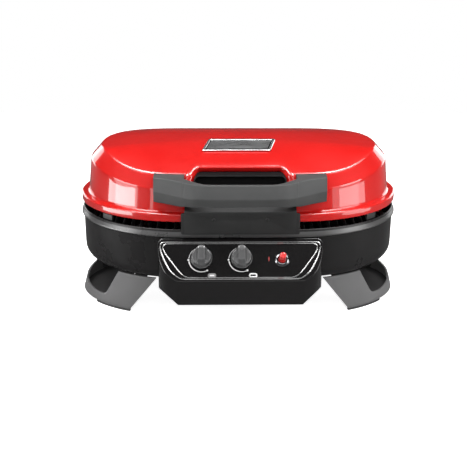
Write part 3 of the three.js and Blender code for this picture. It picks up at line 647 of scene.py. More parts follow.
# ---------------------------------------------------------------- bezel behind the grip, with its apron
AY, ATOP, ABOT = -178.0, 232.0, 187.0
BX = 104.4
BW = 87.6
prof = fillet([(-105, 292.2), (-122, 292.2), (-150, 262), (-152, 240), (AY, ATOP), (AY, ABOT), (AY + 3, ABOT), (AY + 3, ATOP - 4), (-148, 226), (-125, 240), (-112, 262), (-105, 286)],
              [0.6, 2.0, 3, 4, 3.2, 1.0, 1.0, 2, 4, 4, 4, 2], 5)
bz = prism("handle_bezel_moulding", prof, "x", -BX, BX)
boolean(bz, prism("c", [(-BX - 1, 150), (BX + 1, 150), (BX + 1, 244)] + fillet([(BW, 244), (BW, 286.5), (-BW, 286.5), (-BW, 244)], [0, 10, 10, 0], 10) + [(-BX - 1, 244)], "y", -240, -90), "INTERSECT")
pk = prism("pk", fillet([(-111, 288.2), (-128, 310), (-205, 310), (-205, 246), (-150, 243.5), (-128, 246), (-113, 262)], [3, 0, 0, 0, 3, 8, 10], 6), "x", -BW + 1.8, BW - 1.8)
boolean(pk, prism("c", fillet([(-BW + 1.9, 150), (BW - 1.9, 150), (BW - 1.9, 284.6), (-BW + 1.9, 284.6)], [0, 0, 8.5, 8.5], 10), "y", -240, -90), "INTERSECT")
boolean(bz, pk)
wing = fillet([(-111, ABOT), (111, ABOT), (111, ATOP - 3.5), (-111, ATOP - 3.5)], [3, 3, 3, 3], 5)
boolean(bz, prism("w", wing, "y", AY + 0.02, AY + 3), "UNION")
for sx in (-50, 50):
    boolean(bz, rod("h", (sx, -190, 216), (sx, -160, 216), 2.3, 24, 0))
bevel(bz, 0.55, 2, 40)
put(bz, "lid", "black_plastic", ("handle_bezel",), "black_plastic", 40)
# painted shade: the pocket's faces and the frame's top (above z 243.5 mm, behind y -160 mm) get the near-black
bz.data.materials.append(MATS["pocket_shade_and_frame_black"])
for p in bz.data.polygons:
    c = p.center
    if c.z > 0.2435 and c.y > (-160 + YS) * MM:
        p.material_index = 1


def pan_screw(name, at, dirv, r, head_h, shank_r, shank, mat="steel"):
    """Domed head with a cross recess; dirv points out of the surface, at is the head's underside."""
    prof = [(0, head_h), (r * 0.35, head_h * 0.97), (r * 0.7, head_h * 0.8), (r * 0.93, head_h * 0.45), (r, head_h * 0.15), (r * 0.97, 0), (shank_r, 0)]
    k = 0.0
    while k < shank - 0.9:
        prof += [(shank_r, -k - 0.15), (shank_r * 0.84, -k - 0.5), (shank_r, -k - 0.85)]
        k += 0.9
    prof += [(shank_r * 0.7, -shank), (0, -shank)]
    ob = lathe(name, prof, at, dirv, 40)
    u, v, d = frame_of(dirv)
    top = Vector(at) + d * head_h
    for a, b in ((u, v), (v, u)):
        q = []
        for sa, sb, h in ((-1, -1, 1), (1, -1, 1), (1, 1, 1), (-1, 1, 1), (-1, -1, -1), (1, -1, -1), (1, 1, -1), (-1, 1, -1)):
            q.append(tuple(top + a * (sa * r * 0.5) + b * (sb * r * 0.1) + d * (h * head_h * 0.55)))
        c = mesh_of("c", q, [(0, 1, 2, 3), (4, 5, 6, 7), (0, 1, 5, 4), (1, 2, 6, 5), (2, 3, 7, 6), (3, 0, 4, 7)])
        boolean(ob, c)
    return ob


for sx, nm in ((-50, "left"), (50, "right")):
    put(pan_screw("bezel_screw_head_" + nm, (sx, AY - 0.3, 216), (0, -1, 0), 3.6, 1.5, 1.9, 8), "lid", "steel", ("bezel_screw_" + nm,), "black_plastic")

# ---------------------------------------------------------------- handle
def resample(poly, n):
    P = np.array(poly, float)
    d = np.concatenate([[0], np.cumsum(np.linalg.norm(np.diff(P, axis=0), axis=1))])
    t = np.linspace(0, d[-1], n)
    return np.stack([np.interp(t, d, P[:, i]) for i in range(P.shape[1])], 1)


def interp_key(keys, t):
    ks = sorted(keys)
    for (t0, a), (t1, b) in zip(ks[:-1], ks[1:]):
        if t <= t1:
            u = (t - t0) / (t1 - t0)
            u = u * u * (3 - 2 * u)
            return a + (b - a) * u
    return ks[-1][1]


# matched stations (front x, y, rear x, y) from the outer end to the middle; rear y None follows the lid
KEYS = [(162.4, -152.2, 162.4, None), (150, -157.6, 150, None), (140, -162, 140, None), (129, -168.6, 127, None), (118, -176, 114, None), (110.5, -181, 107.5, None), (106.5, -183.6, 105.6, None), (104.6, -184.8, 104.9, -154.4),
        (101, -187, 102, -156.6), (96, -189.6, 97.5, -161), (88, -194, 89, -168.8), (78, -197.6, 78.5, -178.4), (68, -199.8, 68, -185.4), (56, -201, 57, -187.4), (36, -201.8, 36, -187.6), (0, -202, 0, -187.6)]
half_h = []
for (a, b, c, d), (a2, b2, c2, d2) in zip(KEYS[:-1], KEYS[1:]):
    for k in range(6):
        t = k / 6
        rear = None if (d is None and (d2 is None or t == 0)) else ((d if d is not None else -153.8) + (d2 - (d if d is not None else -153.8)) * t)
        half_h.append([a + (a2 - a) * t, b + (b2 - b) * t, c + (c2 - c) * t, rear])
FR = np.array([[q[0], q[1]] for q in half_h] + [[0.0, -202.0]])
FR = np.concatenate([FR, FR[:-1][::-1] * [-1, 1]])
for _ in range(14):                      # ease the corners of the front's plan
    G = FR.copy()
    G[1:-1] = 0.5 * FR[1:-1] + 0.25 * (FR[:-2] + FR[2:])
    FR = G
rear_h = [(q[2], q[3]) for q in half_h] + [(0.0, -187.6)]
rear_h = rear_h + [(-x, y) for x, y in rear_h[:-1][::-1]]


def grip_section(fx, fy, rx, ry, shrink=0.0):
    ax = abs(fx)
    z0 = interp_key([(0, 247.2), (64, 247.2), (96, 243.0), (118, 240.2), (150, 240.6), (163, 241)], ax)
    ztop = 288.4
    crease = interp_key([(0, 263.4), (70, 263.2), (100, 261.5), (130, 261.4), (163, 262.6)], ax)
    lean = interp_key([(0, 8.5), (70, 8.5), (110, 7.5), (163, 5.0)], ax)
    low = interp_key([(0, 4.4), (80, 5.0), (163, 2.6)], ax)
    ym = ry if ry is not None else lid_front(max(-162.5, min(rx, 162.5)), 262) - 0.4
    w = max(9.0, abs(ym - fy))
    poly = [(0.0, crease), (lean, ztop - 0.2), (w - 0.4, ztop), (w, ztop - 1.0), (w, z0 + 0.8), (w - 1.0, z0), (low, z0 + 0.2)]
    if shrink:
        cz = (z0 + ztop) / 2
        poly = [(dd + (w * 0.45 - dd) * min(1, shrink / 12), z + (cz - z) * shrink / 24) for dd, z in poly]
    poly = fillet(poly, [5.0, 2.6, 0.8, 0.8, 0.8, 0.8, 2.6], 4)
    out = []
    for dd, z in poly:
        t = dd / w
        x = fx + (rx - fx) * t
        if ry is None:
            rear = lid_front(max(-162.6, min(x, 162.6)), min(max(z, 222.5), 288.2)) - 0.4
            y = fy + (rear - fy) * t
        else:
            y = fy + (ym - fy) * t
        out.append((x, y, z))
    return out


rings_h = []
for k, (rx, ry) in enumerate(rear_h):
    rings_h.append(grip_section(FR[k][0], FR[k][1], rx, ry))
for side in (0, -1):                     # rounded outer ends
    base = rings_h[side]
    sgn = 1 if base[0][0] > 0 else -1
    ctr = np.mean(np.array(base), 0)
    extra = []
    for q in range(1, 6):
        th = math.pi / 2 * q / 5
        ins = 2.0 * (1 - math.cos(th))
        ringq = []
        for pnt in base:
            v = ctr - np.array(pnt)
            v[0] = 0
            L = np.linalg.norm(v)
            n_ = np.array(pnt) + v / L * ins
            n_[0] = pnt[0] + sgn * 0.6 * math.sin(th)
            ringq.append(tuple(n_))
        extra.append(ringq)
    if side == 0:
        rings_h = extra[::-1] + rings_h
    else:
        rings_h = rings_h + extra
grip = loft("handle_grip_bar", rings_h)
put(grip, "lid", "grey_plastic", ("handle_grip",), "grey_plastic", 32)
for sx, nm in ((-132, "left"), (132, "right")):
    put(pan_screw("handle_screw_head_" + nm, (sx, -135.3, 251), (0, 1, 0), 5, 3.2, 2.3, 12), "lid", "steel", ("handle_screw_" + nm,), "steel")

# ---------------------------------------------------------------- nameplate
def plate_ring(w, h, r, z, n=10):
    return [(x, y, z) for x, y in fillet([(-w, -h), (w, -h), (w, h), (-w, h)], r, n)]


prof_np = [(67, 25, 5, 0), (67, 25, 5, 1.5), (66.2, 24.2, 4.4, 2.3), (64.6, 22.6, 3.6, 2.6), (62.8, 20.8, 3.2, 2.5), (62.0, 20.0, 3.0, 1.7), (61, 19, 2.8, 1.6), (59.6, 17.6, 2.6, 1.9), (40, 8, 2, 2.0)]
npo = loft("nameplate_pressing", [plate_ring(*p) for p in prof_np])
ca, sa = math.cos(0.137), math.sin(0.137)
npo.data.materials.append(MATS["aluminium"])
npo.data.materials.append(MATS["pocket_shade_and_frame_black"])
for p in npo.data.polygons:
    cx, cy = abs(p.center.x) / MM, abs(p.center.y / MM - YS)
    if p.normal.z > 0.5 and ((cx > 59.4 and cx < 62.1 and cy < 20.1) or (cy > 17.4 and cy < 20.1 and cx < 62.1)):
        p.material_index = 1
for v in npo.data.vertices:
    x, y, z = v.co.x / MM, v.co.y / MM - YS, v.co.z / MM
    x += 0.26 * y
    y *= 1.1
    sag = -0.00012 * x * x + 0.28
    z += sag
    y, z = y * ca - z * sa, y * sa + z * ca
    v.co = W((x, y - 31, z + 317.6))
put(npo, "lid", "aluminium", ("nameplate",), None, 30)

# ---------------------------------------------------------------- firebox
BOX_BOT, BOX_FILLET = 82.0, 28.0
op = []
for k in range(9):
    f = math.pi / 2 * (1 - k / 8)
    op.append((4 + BOX_FILLET * (1 - math.cos(f)), BOX_BOT + BOX_FILLET - BOX_FILLET * math.sin(f)))
wall_o = [ring(320 - d, 168 - d, z) for d, z in op]
rimp = [(4, 174.8), (0.3, 176.6), (0, 179.2), (3.0, 187.0), (3.9, 190.0), (4.7, 190.9), (6.4, 190.9), (7, 190), (7, 110)]
rims = round_profile([wall_o[-1]] + [ring(320 - d, 168 - d, z) for d, z in rimp], [0, 1.4, 1.2, 1.6, 0.9, 0.7, 0.6, 0.6, 0.5, 0], 3)
ip = []
for k in range(9):
    f = math.pi / 2 * (k / 8)
    ip.append((7 + 25 * (1 - math.cos(f)), 110 - 25 * math.sin(f)))
wall_i = [ring(320 - d, 168 - d, z) for d, z in ip[1:]]
fb = loft("firebox_pan", wall_o + rims[1:] + wall_i)
for x0, z0, r0 in ((-73, 102, 7.6), (2, 116.5, 7.6), (50, 142, 4.2)):
    boolean(fb, rod("c", (x0, -185, z0), (x0, -120, z0), r0, 32, 0))
for sx in (-196, 196):
    for sy in (-118, 118):
        boolean(fb, rod("c", (sx, sy, 70), (sx, sy, 95), 2.6, 20, 0))
dress(fb, "black_enamel", 50)
# painted highlight: faces of the rim band between z 175.2 and 186.8 mm get the lighter grey
fb.data.materials.append(MATS["rim_painted_highlight"])
for p in fb.data.polygons:
    if 0.1752 < p.center.z < 0.1868:
        p.material_index = 1
put(fb, "grill_body", "black_enamel", ("firebox_shell",), None, 50)

# ---------------------------------------------------------------- control housing
SLT, SLB = (-168.0, 172.5), (-220.0, 110.0)
SD = np.array([SLB[0] - SLT[0], SLB[1] - SLT[1]])
SD = SD / np.linalg.norm(SD)
NO = (0.0, float(SD[1]), float(-SD[0]))           # outward normal of the control face
PBOT, PBACK = 61.0, -129.0


def face_pt(u, v, h=0.0):
    """Point on the control face: u along X, v down the slope from its top edge, h above it."""
    return (u, SLT[0] + SD[0] * v + NO[1] * h, SLT[1] + SD[1] * v + NO[2] * h)


def on_face(x, y, z, h, u=0.0, v=0.0):
    return (x + u, y + NO[1] * h - SD[0] * v, z + NO[2] * h - SD[1] * v)


corner = spline([(156, -150), (156, -170), (154.2, -185), (149, -198), (139, -210), (120, -219.6)], 9)
half_plan = [(156, PBACK)] + corner[9:] + [(112, -220)]


def plan(inset):
    P = []
    H = half_plan
    for i, (x, y) in enumerate(H):
        a, b = H[max(0, i - 1)], H[min(len(H) - 1, i + 1)]
        t = np.array([b[0] - a[0], b[1] - a[1]])
        t = t / np.linalg.norm(t)
        nrm = np.array([-t[1], t[0]])
        if nrm[0] < 0 and nrm[1] > 0:
            nrm = -nrm
        if i == 0:
            P.append((x - inset, y - inset))
        else:
            P.append((x + (nrm[0] if nrm[0] < 0 else -nrm[0]) * inset, y + abs(nrm[1]) * inset))
    return P + [(-x, y) for x, y in reversed(P)]


def under_slope(name, depth):
    o = (SLT[0] - NO[1] * depth, SLT[1] - NO[2] * depth)
    up = (o[0] - SD[0] * 60, o[1] - SD[1] * 60)
    dn = (o[0] + SD[0] * 120, o[1] + SD[1] * 120)
    return prism(name, [(dn[0], 20), (-60, 20), (-60, up[1]), up, dn], "x", -200, 200)


hs = prism("control_panel_housing", plan(0), "z", PBOT, 174)
boolean(hs, under_slope("c", 0), "INTERSECT")
boolean(hs, prism("c3", fillet([(-157, 50), (157, 50), (157, 174.4), (-157, 174.4)], [0, 0, 13, 13], 10), "y", -260, -100), "INTERSECT")


def corner_wedge(sx, off):
    k = PBOT + off * math.hypot(1, 1.22)
    c_, s_ = math.cos(1.07 * sx), math.sin(1.07 * sx)
    w_ = prism("w", [(12, k - 14.64), (-40, k + 48.8), (-40, 30), (12, 30)], "x", -80, 80)
    for v in w_.data.vertices:
        x, y = v.co.x / MM, v.co.y / MM - YS
        v.co = W((x * c_ - y * s_ + sx * 138.5, x * s_ + y * c_ - 180.5, v.co.z / MM))
    return w_


for sx in (-1, 1):
    boolean(hs, corner_wedge(sx, 0))
bevel(hs, 5.4, 6, 32)
inner_h = prism("c", plan(3), "z", PBOT + 3, 190)
for sx in (-1, 1):
    boolean(inner_h, corner_wedge(sx, 3))
boolean(inner_h, under_slope("c2", 3.2), "INTERSECT")
boolean(hs, inner_h)
space = loft("c", [ring(288.3, 136.3, 81.7)] + [ring(320.3 - d, 168.3 - d, z) for d, z in op[1:]] + [ring(316.3, 164.3, 200)])
boolean(hs, space)
KN = [(-73, -192.13, 143.5), (2, -192.13, 143.5)]
IG = (78, -193.52, 141.82)
for x, y, z in KN + [IG]:
    boolean(hs, rod("c", on_face(x, y, z, -12), on_face(x, y, z, 12), 7.1 if x < 50 else 7.8, 40, 0))
boolean(hs, rod("c", (120, -140, 71), (120, -120, 71), 6.4, 30, 0))
put(hs, "grill_body", "gloss_black", ("control_housing",), "gloss_black", 34)

# raised double bead that borders the control face
outl = []
for x, y in half_plan[1:]:
    outl.append((x, (y - SLT[0]) / SD[0]))
outl = [(x, max(v, 0)) for x, v in outl]
right = [(156, 0.0)] + [p for p in outl if p[1] > 4] + [(100, 81.3)]


def inset_path(d, top, r):
    P = np.array(right, float)
    Q = []
    for i, p in enumerate(P):
        a, b = P[max(0, i - 1)], P[min(len(P) - 1, i + 1)]
        t = (b - a) / np.linalg.norm(b - a)
        nrm = np.array([-t[1], t[0]])
        if np.dot(nrm, np.array([40.0, 30.0]) - p) < 0:
            nrm = -nrm
        q = p + nrm * d
        if q[1] > top + 0.5:
            Q.append(tuple(q))
    Q = [(Q[0][0], top)] + Q
    return Q


def bead(name, d, top, r_tube, r_corner, squeeze=0.0, ease=20):
    Q = inset_path(d, top, 0)
    loop = [(-x, v) for x, v in reversed(Q)] + Q
    loop = loop[::-1]
    rad = [0.0] * len(loop)
    for i, p in enumerate(loop):
        if abs(p[1] - top) < 1e-6:
            rad[i] = r_corner
    L = fillet(loop, rad, 10)
    P = np.array(L + [L[0]], float)
    P = resample(P, 420)[:-1]
    for _ in range(ease):
        P = 0.5 * P + 0.25 * (np.roll(P, 1, 0) + np.roll(P, -1, 0))
    pts = [face_pt(x * (1 - squeeze * smooth(6, 62, v)), v, -0.35) for x, v in P]
    return put(tube(name, pts, r_tube, 14, closed=True), "grill_body", "gloss_black", (), "bead_gloss", 60)


bead("panel_bead_outer", 4.0, 5.2, 1.3, 9, 0.045, 24)
bead("panel_bead_inner", 7.0, 8.2, 1.05, 8, 0.125, 50)


# printed dial marks and symbols, thin raised ink
def ink(name, polys, mat, h=0.10, body="grill_body"):
    verts, faces = [], []
    for poly in polys:
        n = len(poly)
        k = len(verts)
        verts += [face_pt(u, v, h) for u, v in poly] + [face_pt(u, v, -0.2) for u, v in poly]
        faces += [tuple(range(k, k + n)), tuple(range(k + n, k + 2 * n))]
        faces += [(k + i, k + (i + 1) % n, k + n + (i + 1) % n, k + n + i) for i in range(n)]
    return put(mesh_of(name, verts, faces), body, "gloss_black", (), mat, 40)


def v_of(y):
    return (y - SLT[0]) / SD[0]


def arc_band(cx, cv, r, a0, a1, w0, w1, n=36):
    """Clock angles in degrees, 0 at the top and positive clockwise; width goes from w0 to w1."""
    out, inn = [], []
    for i in range(n + 1):
        t = i / n
        a = math.radians(a0 + (a1 - a0) * t)
        w = (w0 + (w1 - w0) * t) / 2
        s_, c_ = math.sin(a), math.cos(a)
        out.append((cx + (r + w) * s_, cv - (r + w) * c_))
        inn.append((cx + (r - w) * s_, cv - (r - w) * c_))
    return out + inn[::-1]


def disc2(cx, cv, r, n=20, sq=1.0):
    return [(cx + r * math.cos(2 * math.pi * i / n), cv + sq * r * math.sin(2 * math.pi * i / n)) for i in range(n)]


def pill(cx, cv, w, h, n=8):
    return fillet([(cx - w / 2, cv - h / 2), (cx + w / 2, cv - h / 2), (cx + w / 2, cv + h / 2), (cx - w / 2, cv + h / 2)], h * 0.499, n)


KV = v_of(-192.13)
marks = []
for x, y, z in KN:
    R, CV = 23.8, KV + 1.4
    marks.append(arc_band(x, CV, R, -24, -84, 0.5, 0.9))
    marks.append(disc2(x - R - 0.6, CV + 0.8, 2.3, 4))
    marks.append(arc_band(x, CV, R, -99, -204, 2.3, 1.1))
    marks.append(disc2(x + R * math.sin(math.radians(-207)), CV - R * math.cos(math.radians(-207)), 1.9, 18))
ink("dial_marks", marks, "print_white")
PV = KV + 32.2
ink("symbol_left_ground", [pill(-73 + 19.6, PV, 15.6, 8.4)], "print_grey")
ink("symbol_left_bar", [pill(-73 + 19.6, PV, 9, 2.6)], "print_white", 0.16)
ink("symbol_right_ring", [pill(2 + 21.4, PV, 15.6, 8.6)], "print_white")
ink("symbol_right_ground", [pill(2 + 21.4, PV, 10.4, 3.2)], "gloss_black", 0.16)

ink("igniter_mark", [[(52.2, KV + 0), (53.4, KV - 5), (54.4, KV + 0), (53.2, KV + 6)]], "print_red")


# ---------------------------------------------------------------- knobs
def knob(name, at):
    """A turned skirt that is drawn out to a blunt pointer, and a crown with a raised grip between stepped shoulders."""
    seg = 176
    U, V3, N = Vector((1, 0, 0)), Vector((0, -SD[0], -SD[1])), Vector(NO)     # V3 points up the slope
    o = Vector(at)
    rings = []

    def rad(a, R, tip):
        return R + tip * max(0.0, math.cos(a)) ** 9
    for R, h, tip in [(16.0, 4.0, 0), (19.4, 4.0, 0.3), (20.2, 4.5, 0.6), (20.4, 5.4, 0.9), (20.3, 6.6, 1.2), (19.6, 7.6, 1.8), (18.8, 9.2, 2.6), (18.3, 12.5, 3.4), (17.9, 16.4, 3.9), (17.4, 18.2, 4.0)]:
        rings.append([tuple(o + U * (rad(2 * math.pi * i / seg, R, tip) * math.sin(2 * math.pi * i / seg)) + V3 * (rad(2 * math.pi * i / seg, R, tip) * math.cos(2 * math.pi * i / seg)) + N * h) for i in range(seg)])
    NR_ = 44
    for k in range(1, NR_):
        f = 1 - (k / NR_) ** 1.25 if k < NR_ else 0
        rr = []
        for i in range(seg):
            a = 2 * math.pi * i / seg
            R0 = rad(a, 17.3, 4.0)
            x, y = R0 * f * math.sin(a), R0 * f * math.cos(a)
            e = 1 - f * f
            ax = abs(x)
            side = 19.2 + 1.5 * (1 - smooth(9.6, 10.9, ax)) - 0.9 * smooth(6, 17, -y)
            bar = 25.0 - 5.2 * smooth(6.5, 16.5, -y) - 1.0 * smooth(13, 21, y)
            bar += 0.40 * math.exp(-((ax - 5.9) / 0.55) ** 2) * (1 - smooth(6, 9, -y))
            g = 1 - smooth(6.5, 7.5, ax)
            side -= 0.7 * math.exp(-((ax - 8.1) / 0.7) ** 2)
            h = side + (bar - side) * g
            h = 18.3 + (h - 18.3) * min(1.0, e * 8) ** 0.55
            rr.append(tuple(o + U * x + V3 * y + N * h))
        rings.append(rr)
    return loft(name, rings)


for (x, y, z), nm in zip(KN, ("left", "right")):
    kb = knob("knob_cap_" + nm, (x, y, z))
    boolean(kb, rod("c", on_face(x, y, z, 1), on_face(x, y, z, 18.7), 3.4, 30, 0))
    put(kb, nm + "_knob", "knob_plastic", ("knob_" + nm,), "knob_plastic", 55)
    st_ = rod("knob_spindle_" + nm, on_face(x, y, z, -17), on_face(x, y, z, 18), 3.0, 36)
    put(st_, nm + "_knob", "steel", ("valve_stem_" + nm,), "steel")
    cl = lathe("return_spring_collar_" + nm, [(3.4, -11), (5.2, -11), (5.6, -10.6), (5.6, -9.4), (5.0, -9.1), (5.0, -8.4), (5.6, -8.1), (5.6, -6.9), (5.2, -6.5), (3.4, -6.5)], (x, y, z), NO, 40, closed=True)
    put(cl, nm + "_knob_push", "steel", ("return_collar_" + nm,), "steel")

# ---------------------------------------------------------------- igniter
bzr = lathe("igniter_collar", [(7.7, 0.3), (13.8, 0.3), (14.2, 0.7), (14.2, 1.5), (13.8, 2.1), (13.2, 2.6), (12.6, 3.7), (11.3, 4.7), (9.6, 5.3), (8.4, 5.4), (7.8, 5.1), (7.7, 4.6)], IG, NO, 96, closed=True)
put(bzr, "grill_body", "chrome", ("ignitor_bezel",), "chrome", 60)
ibd = lathe("igniter_barrel", [(0, -31), (8.2, -31), (8.8, -30.4), (8.8, -26), (8.4, -25.6), (8.4, -24.8), (8.8, -24.4), (8.8, -12), (10.6, -12), (11, -11.6), (11, -3.7), (10.6, -3.3), (7.5, -3.3), (7.5, -15), (0, -15)], IG, NO, 64)
put(ibd, "grill_body", "black_plastic", ("ignitor_body",), "black_plastic")
but = lathe("igniter_push_button", [(0, -8), (6.9, -8), (6.9, 4.5), (6.5, 5.4), (6.35, 6.2), (6.35, 27.6), (6.2, 28.8), (5.8, 29.7), (5.1, 30.4), (4.2, 30.85), (3.4, 30.95), (1.6, 31), (0, 31)], IG, NO, 64)
put(but, "igniter_push", "red_plastic", ("ignitor_button",), "red_plastic", 60)

# ---------------------------------------------------------------- legs
LBA, LBB, LTA, LTB, LT = 326.7, 145.0, 304.0, 150.0, 81.5


def leg_surf(ang, z, inw):
    f = z / LT
    a, b = LBA + (LTA - LBA) * f - inw, LBB + (LTB - LBB) * f - inw
    return (S + (a - S) * math.cos(ang), b * math.sin(ang), z)


RIM_LINE = [(-1.02, 21), (-0.75, 21.5), (-0.5, 22.5), (-0.25, 26), (-0.05, 29), (0.12, 34), (0.32, 37), (0.42, 56), (0.5, 75), (0.56, LT)]


def leg(sx, nm):
    rings = []
    NZ = 14
    for i in range(150):
        ang = -1.36 + 2.72 * i / 149
        out = [leg_surf(ang, 5 + (LT - 5) * k / NZ, 0) for k in range(NZ + 1)]
        inn = [leg_surf(ang, 5 + (LT - 5) * k / NZ, 4) for k in range(NZ + 1)]
        rings.append(out + inn[::-1])
    w = loft("leg_moulding_" + nm, rings)
    # what stays of the wall, seen from the front and from the back
    rim = spline([leg_surf(a, z, 0)[::2] for a, z in RIM_LINE if -0.8 < a < 0], 6)
    front = [(219, 4), (162, LT + 1), (239, LT + 1), (269.5, 23.5)] + [(x, z) for x, z in rim if x > 283] + [(345, 30.5), (345, 4)]
    rad = [0, 0, 0, 12] + [0] * (len(front) - 4)
    front = fillet(front, rad, 8)
    rim2 = [leg_surf(a, z, 0)[::2] for a, z in RIM_LINE if a > 0]
    rear = [(219, 4), (162, LT + 1)] + [(rim2[-1][0], LT + 1)] + rim2[::-1] + [(345, 30.5), (345, 4)]
    rear = fillet(rear, [0, 0, 0] + [4] * len(rim2) + [0, 0], 5)
    fr = prism("c", front, "y", -200, 0.0)
    rr = prism("c2", rear, "y", 0.0, 200)
    boolean(fr, rr, "UNION")
    boolean(w, fr, "INTERSECT")
    # a floor sheet at z 5 to 8 mm that closes the leg's ring where the ground under the grill lies in shade; it carries
    # the painted shade given below
    shade_floor_outline = []
    for i in range(41):
        p = leg_surf(-1.0 + 2.0 * i / 40, 5, 2)
        shade_floor_outline.append((p[0], p[1]))
    shade_floor = prism("c", fillet(shade_floor_outline, 0), "z", 5, 8)
    boolean(w, shade_floor, "UNION")
    for sy in (-1, 1):
        tab = prism("c", fillet([(182, sy * 136), (206, sy * 124.5), (202, sy * 108), (178, sy * 108)], [0, 0, 5, 5], 5), "z", LT - 2.8, LT - 0.05)
        boolean(w, tab, "UNION")
        boolean(w, rod("c", (196, sy * 118, 60), (196, sy * 118, 90), 2.6, 24, 0))
    sp = loft("c", [ring(288.3, 136.3, 81.7)] + [ring(320.3 - d, 168.3 - d, z) for d, z in op[1:]] + [ring(316.3, 164.3, 200)])
    boolean(w, sp)
    if sx < 0:
        for v in w.data.vertices:
            v.co.x = -v.co.x
        w.data.flip_normals()
    bevel(w, 0.9, 2, 50)
    dress(w, "leg_plastic", 42)
    # painted shade: faces more than 3 mm inside the leg's outer surface get the dark grey
    w.data.materials.append(MATS["leg_inner_painted_shade"])
    for p in w.data.polygons:
        c, nn = p.center, p.normal
        x, y, z = abs(c.x) / MM, c.y / MM - YS, c.z / MM
        f = z / LT
        a, b = LBA + (LTA - LBA) * f, LBB + (LTB - LBB) * f
        q = ((x - S) / (a - S)) ** 2 + (y / b) ** 2
        depth = (1 - math.sqrt(max(q, 0))) * b
        if depth > 3.0:
            p.material_index = 1
    put(w, "grill_body", "leg_plastic", ("leg_" + nm,), None, 42)


leg(1, "right")
leg(-1, "left")

for sx, xn in ((-1, "left"), (1, "right")):
    for sy, yn in ((-1, "front"), (1, "back")):
        rings = []
        for i in range(25):
            x = 290 - 70.5 * i / 24
            a0, b0 = LBA, LBB
            u = (x - S) / (a0 - S)
            th = math.acos(min(1, max(0, u)))
            nrm = np.array([math.cos(th) / (a0 - S), math.sin(th) / b0])
            nrm = nrm / np.linalg.norm(nrm)
            p = np.array([x, b0 * math.sin(th)])
            sec = fillet([(0, 0.0), (0, 4.7), (6, 4.7), (6, 0.0)], [1.2, 0.6, 0.6, 1.2], 4)
            rings.append([(sx * (p[0] - nrm[0] * d), sy * (p[1] - nrm[1] * d), z) for d, z in sec])
        pd = loft(f"foot_pad_rubber_{yn}_{xn}", rings)
        put(pd, "grill_body", "rubber", (f"foot_pad_{yn}_{xn}",), "rubber", 40)
        X, Y = sx * 196, sy * 118
        sc = pan_screw(f"leg_bolt_{yn}_{xn}", (X, Y, 78.3), (0, 0, -1), 5, 3.2, 2.15, 9)
        put(sc, "grill_body", "steel", (f"leg_screw_{yn}_{xn}",), "steel")

# ---------------------------------------------------------------- spacers under the lid
for sx, nm in ((-1, "left"), (1, "right")):
    sec = fillet([(-2.75, -5.7), (2.75, -5.7), (2.75, 5.7), (-2.75, 5.7)], 1.2, 5)
    rings = []
    for t in np.linspace(-12, 12, 15):
        k = 1 - 0.12 * (abs(t) / 12) ** 8
        ang = sx * 0.685
        rings.append([(sx * 254.5 + math.cos(ang) * t - math.sin(ang) * a * k, -108.2 + math.sin(ang) * t + math.cos(ang) * a * k, 197 + z * (0.9985 if abs(t) < 11.5 else 0.93)) for a, z in sec])
    put(loft("lid_spacer_block_" + nm, rings), "grill_body", "black_plastic", ("lid_spacer_" + nm,), "black_plastic", 40)

# ---------------------------------------------------------------- burners
def superloop(a, b, z, n=160, e=0.72):
    out = []
    for i in range(n):
        t = 2 * math.pi * (i + 0.5) / n
        c, s_ = math.cos(t), math.sin(t)
        out.append((a * math.copysign(abs(c) ** e, c), b * math.copysign(abs(s_) ** e, s_), z))
    return out


def even(P, n, closed=True):
    A = np.array(P + [P[0]] if closed else P, float)
    R = resample(A, n + 1 if closed else n)
    return [tuple(p) for p in (R[:-1] if closed else R)]


loop = even(superloop(216, 84, 116.5), 220)
bo = tube("burner_ring_tube", loop, 7.0, 28, closed=True)
inlet = rod("c", (2, -165.8, 116.5), (2, -83, 116.5), 7.0, 32)
join(bo, inlet)
put(bo, "grill_body", "burner_steel", ("burner_outer",), "burner_steel", 50)
bi = lathe("burner_bar_tube", [(0, 0), (6.6, 0), (7.6, 0.5), (8, 1.6), (8, 6), (7.5, 7), (8, 8), (8, 236), (7.5, 237), (8, 238), (8, 242.4), (7.6, 243.5), (6.6, 244), (0, 244)], (-122, 0, 117.3), (1, 0, 0), 40)
ip_pts = spline([(-73, -165.8, 102), (-73, -120, 102), (-73, -60, 102), (-73, -26, 104), (-73, 0, 116.3)], 12)
join(bi, tube("c", ip_pts, 6.8, 28))
put(bi, "grill_body", "burner_steel", ("burner_inner",), "burner_steel", 50)
# flame ports: short raised collars along both tubes
ports_v, ports_f = [], []


def port(cx, cy, cz, nx, ny, nz, r=1.25):
    u, v, d = frame_of((nx, ny, nz))
    c = Vector((cx, cy, cz))
    k = len(ports_v)
    seg = 10
    for rr, h in ((r * 1.5, -0.25), (r * 1.35, 0.25), (r, 0.3), (r * 0.9, -0.15)):
        for i in range(seg):
            t = 2 * math.pi * i / seg
            ports_v.append(tuple(c + d * h + (u * math.cos(t) + v * math.sin(t)) * rr))
    for q in range(3):
        for i in range(seg):
            ports_f.append((k + q * seg + i, k + q * seg + (i + 1) % seg, k + (q + 1) * seg + (i + 1) % seg, k + (q + 1) * seg + i))
    ports_f.append(tuple(k + 3 * seg + i for i in range(seg)))
    ports_f.append(tuple(k + i for i in range(seg)))


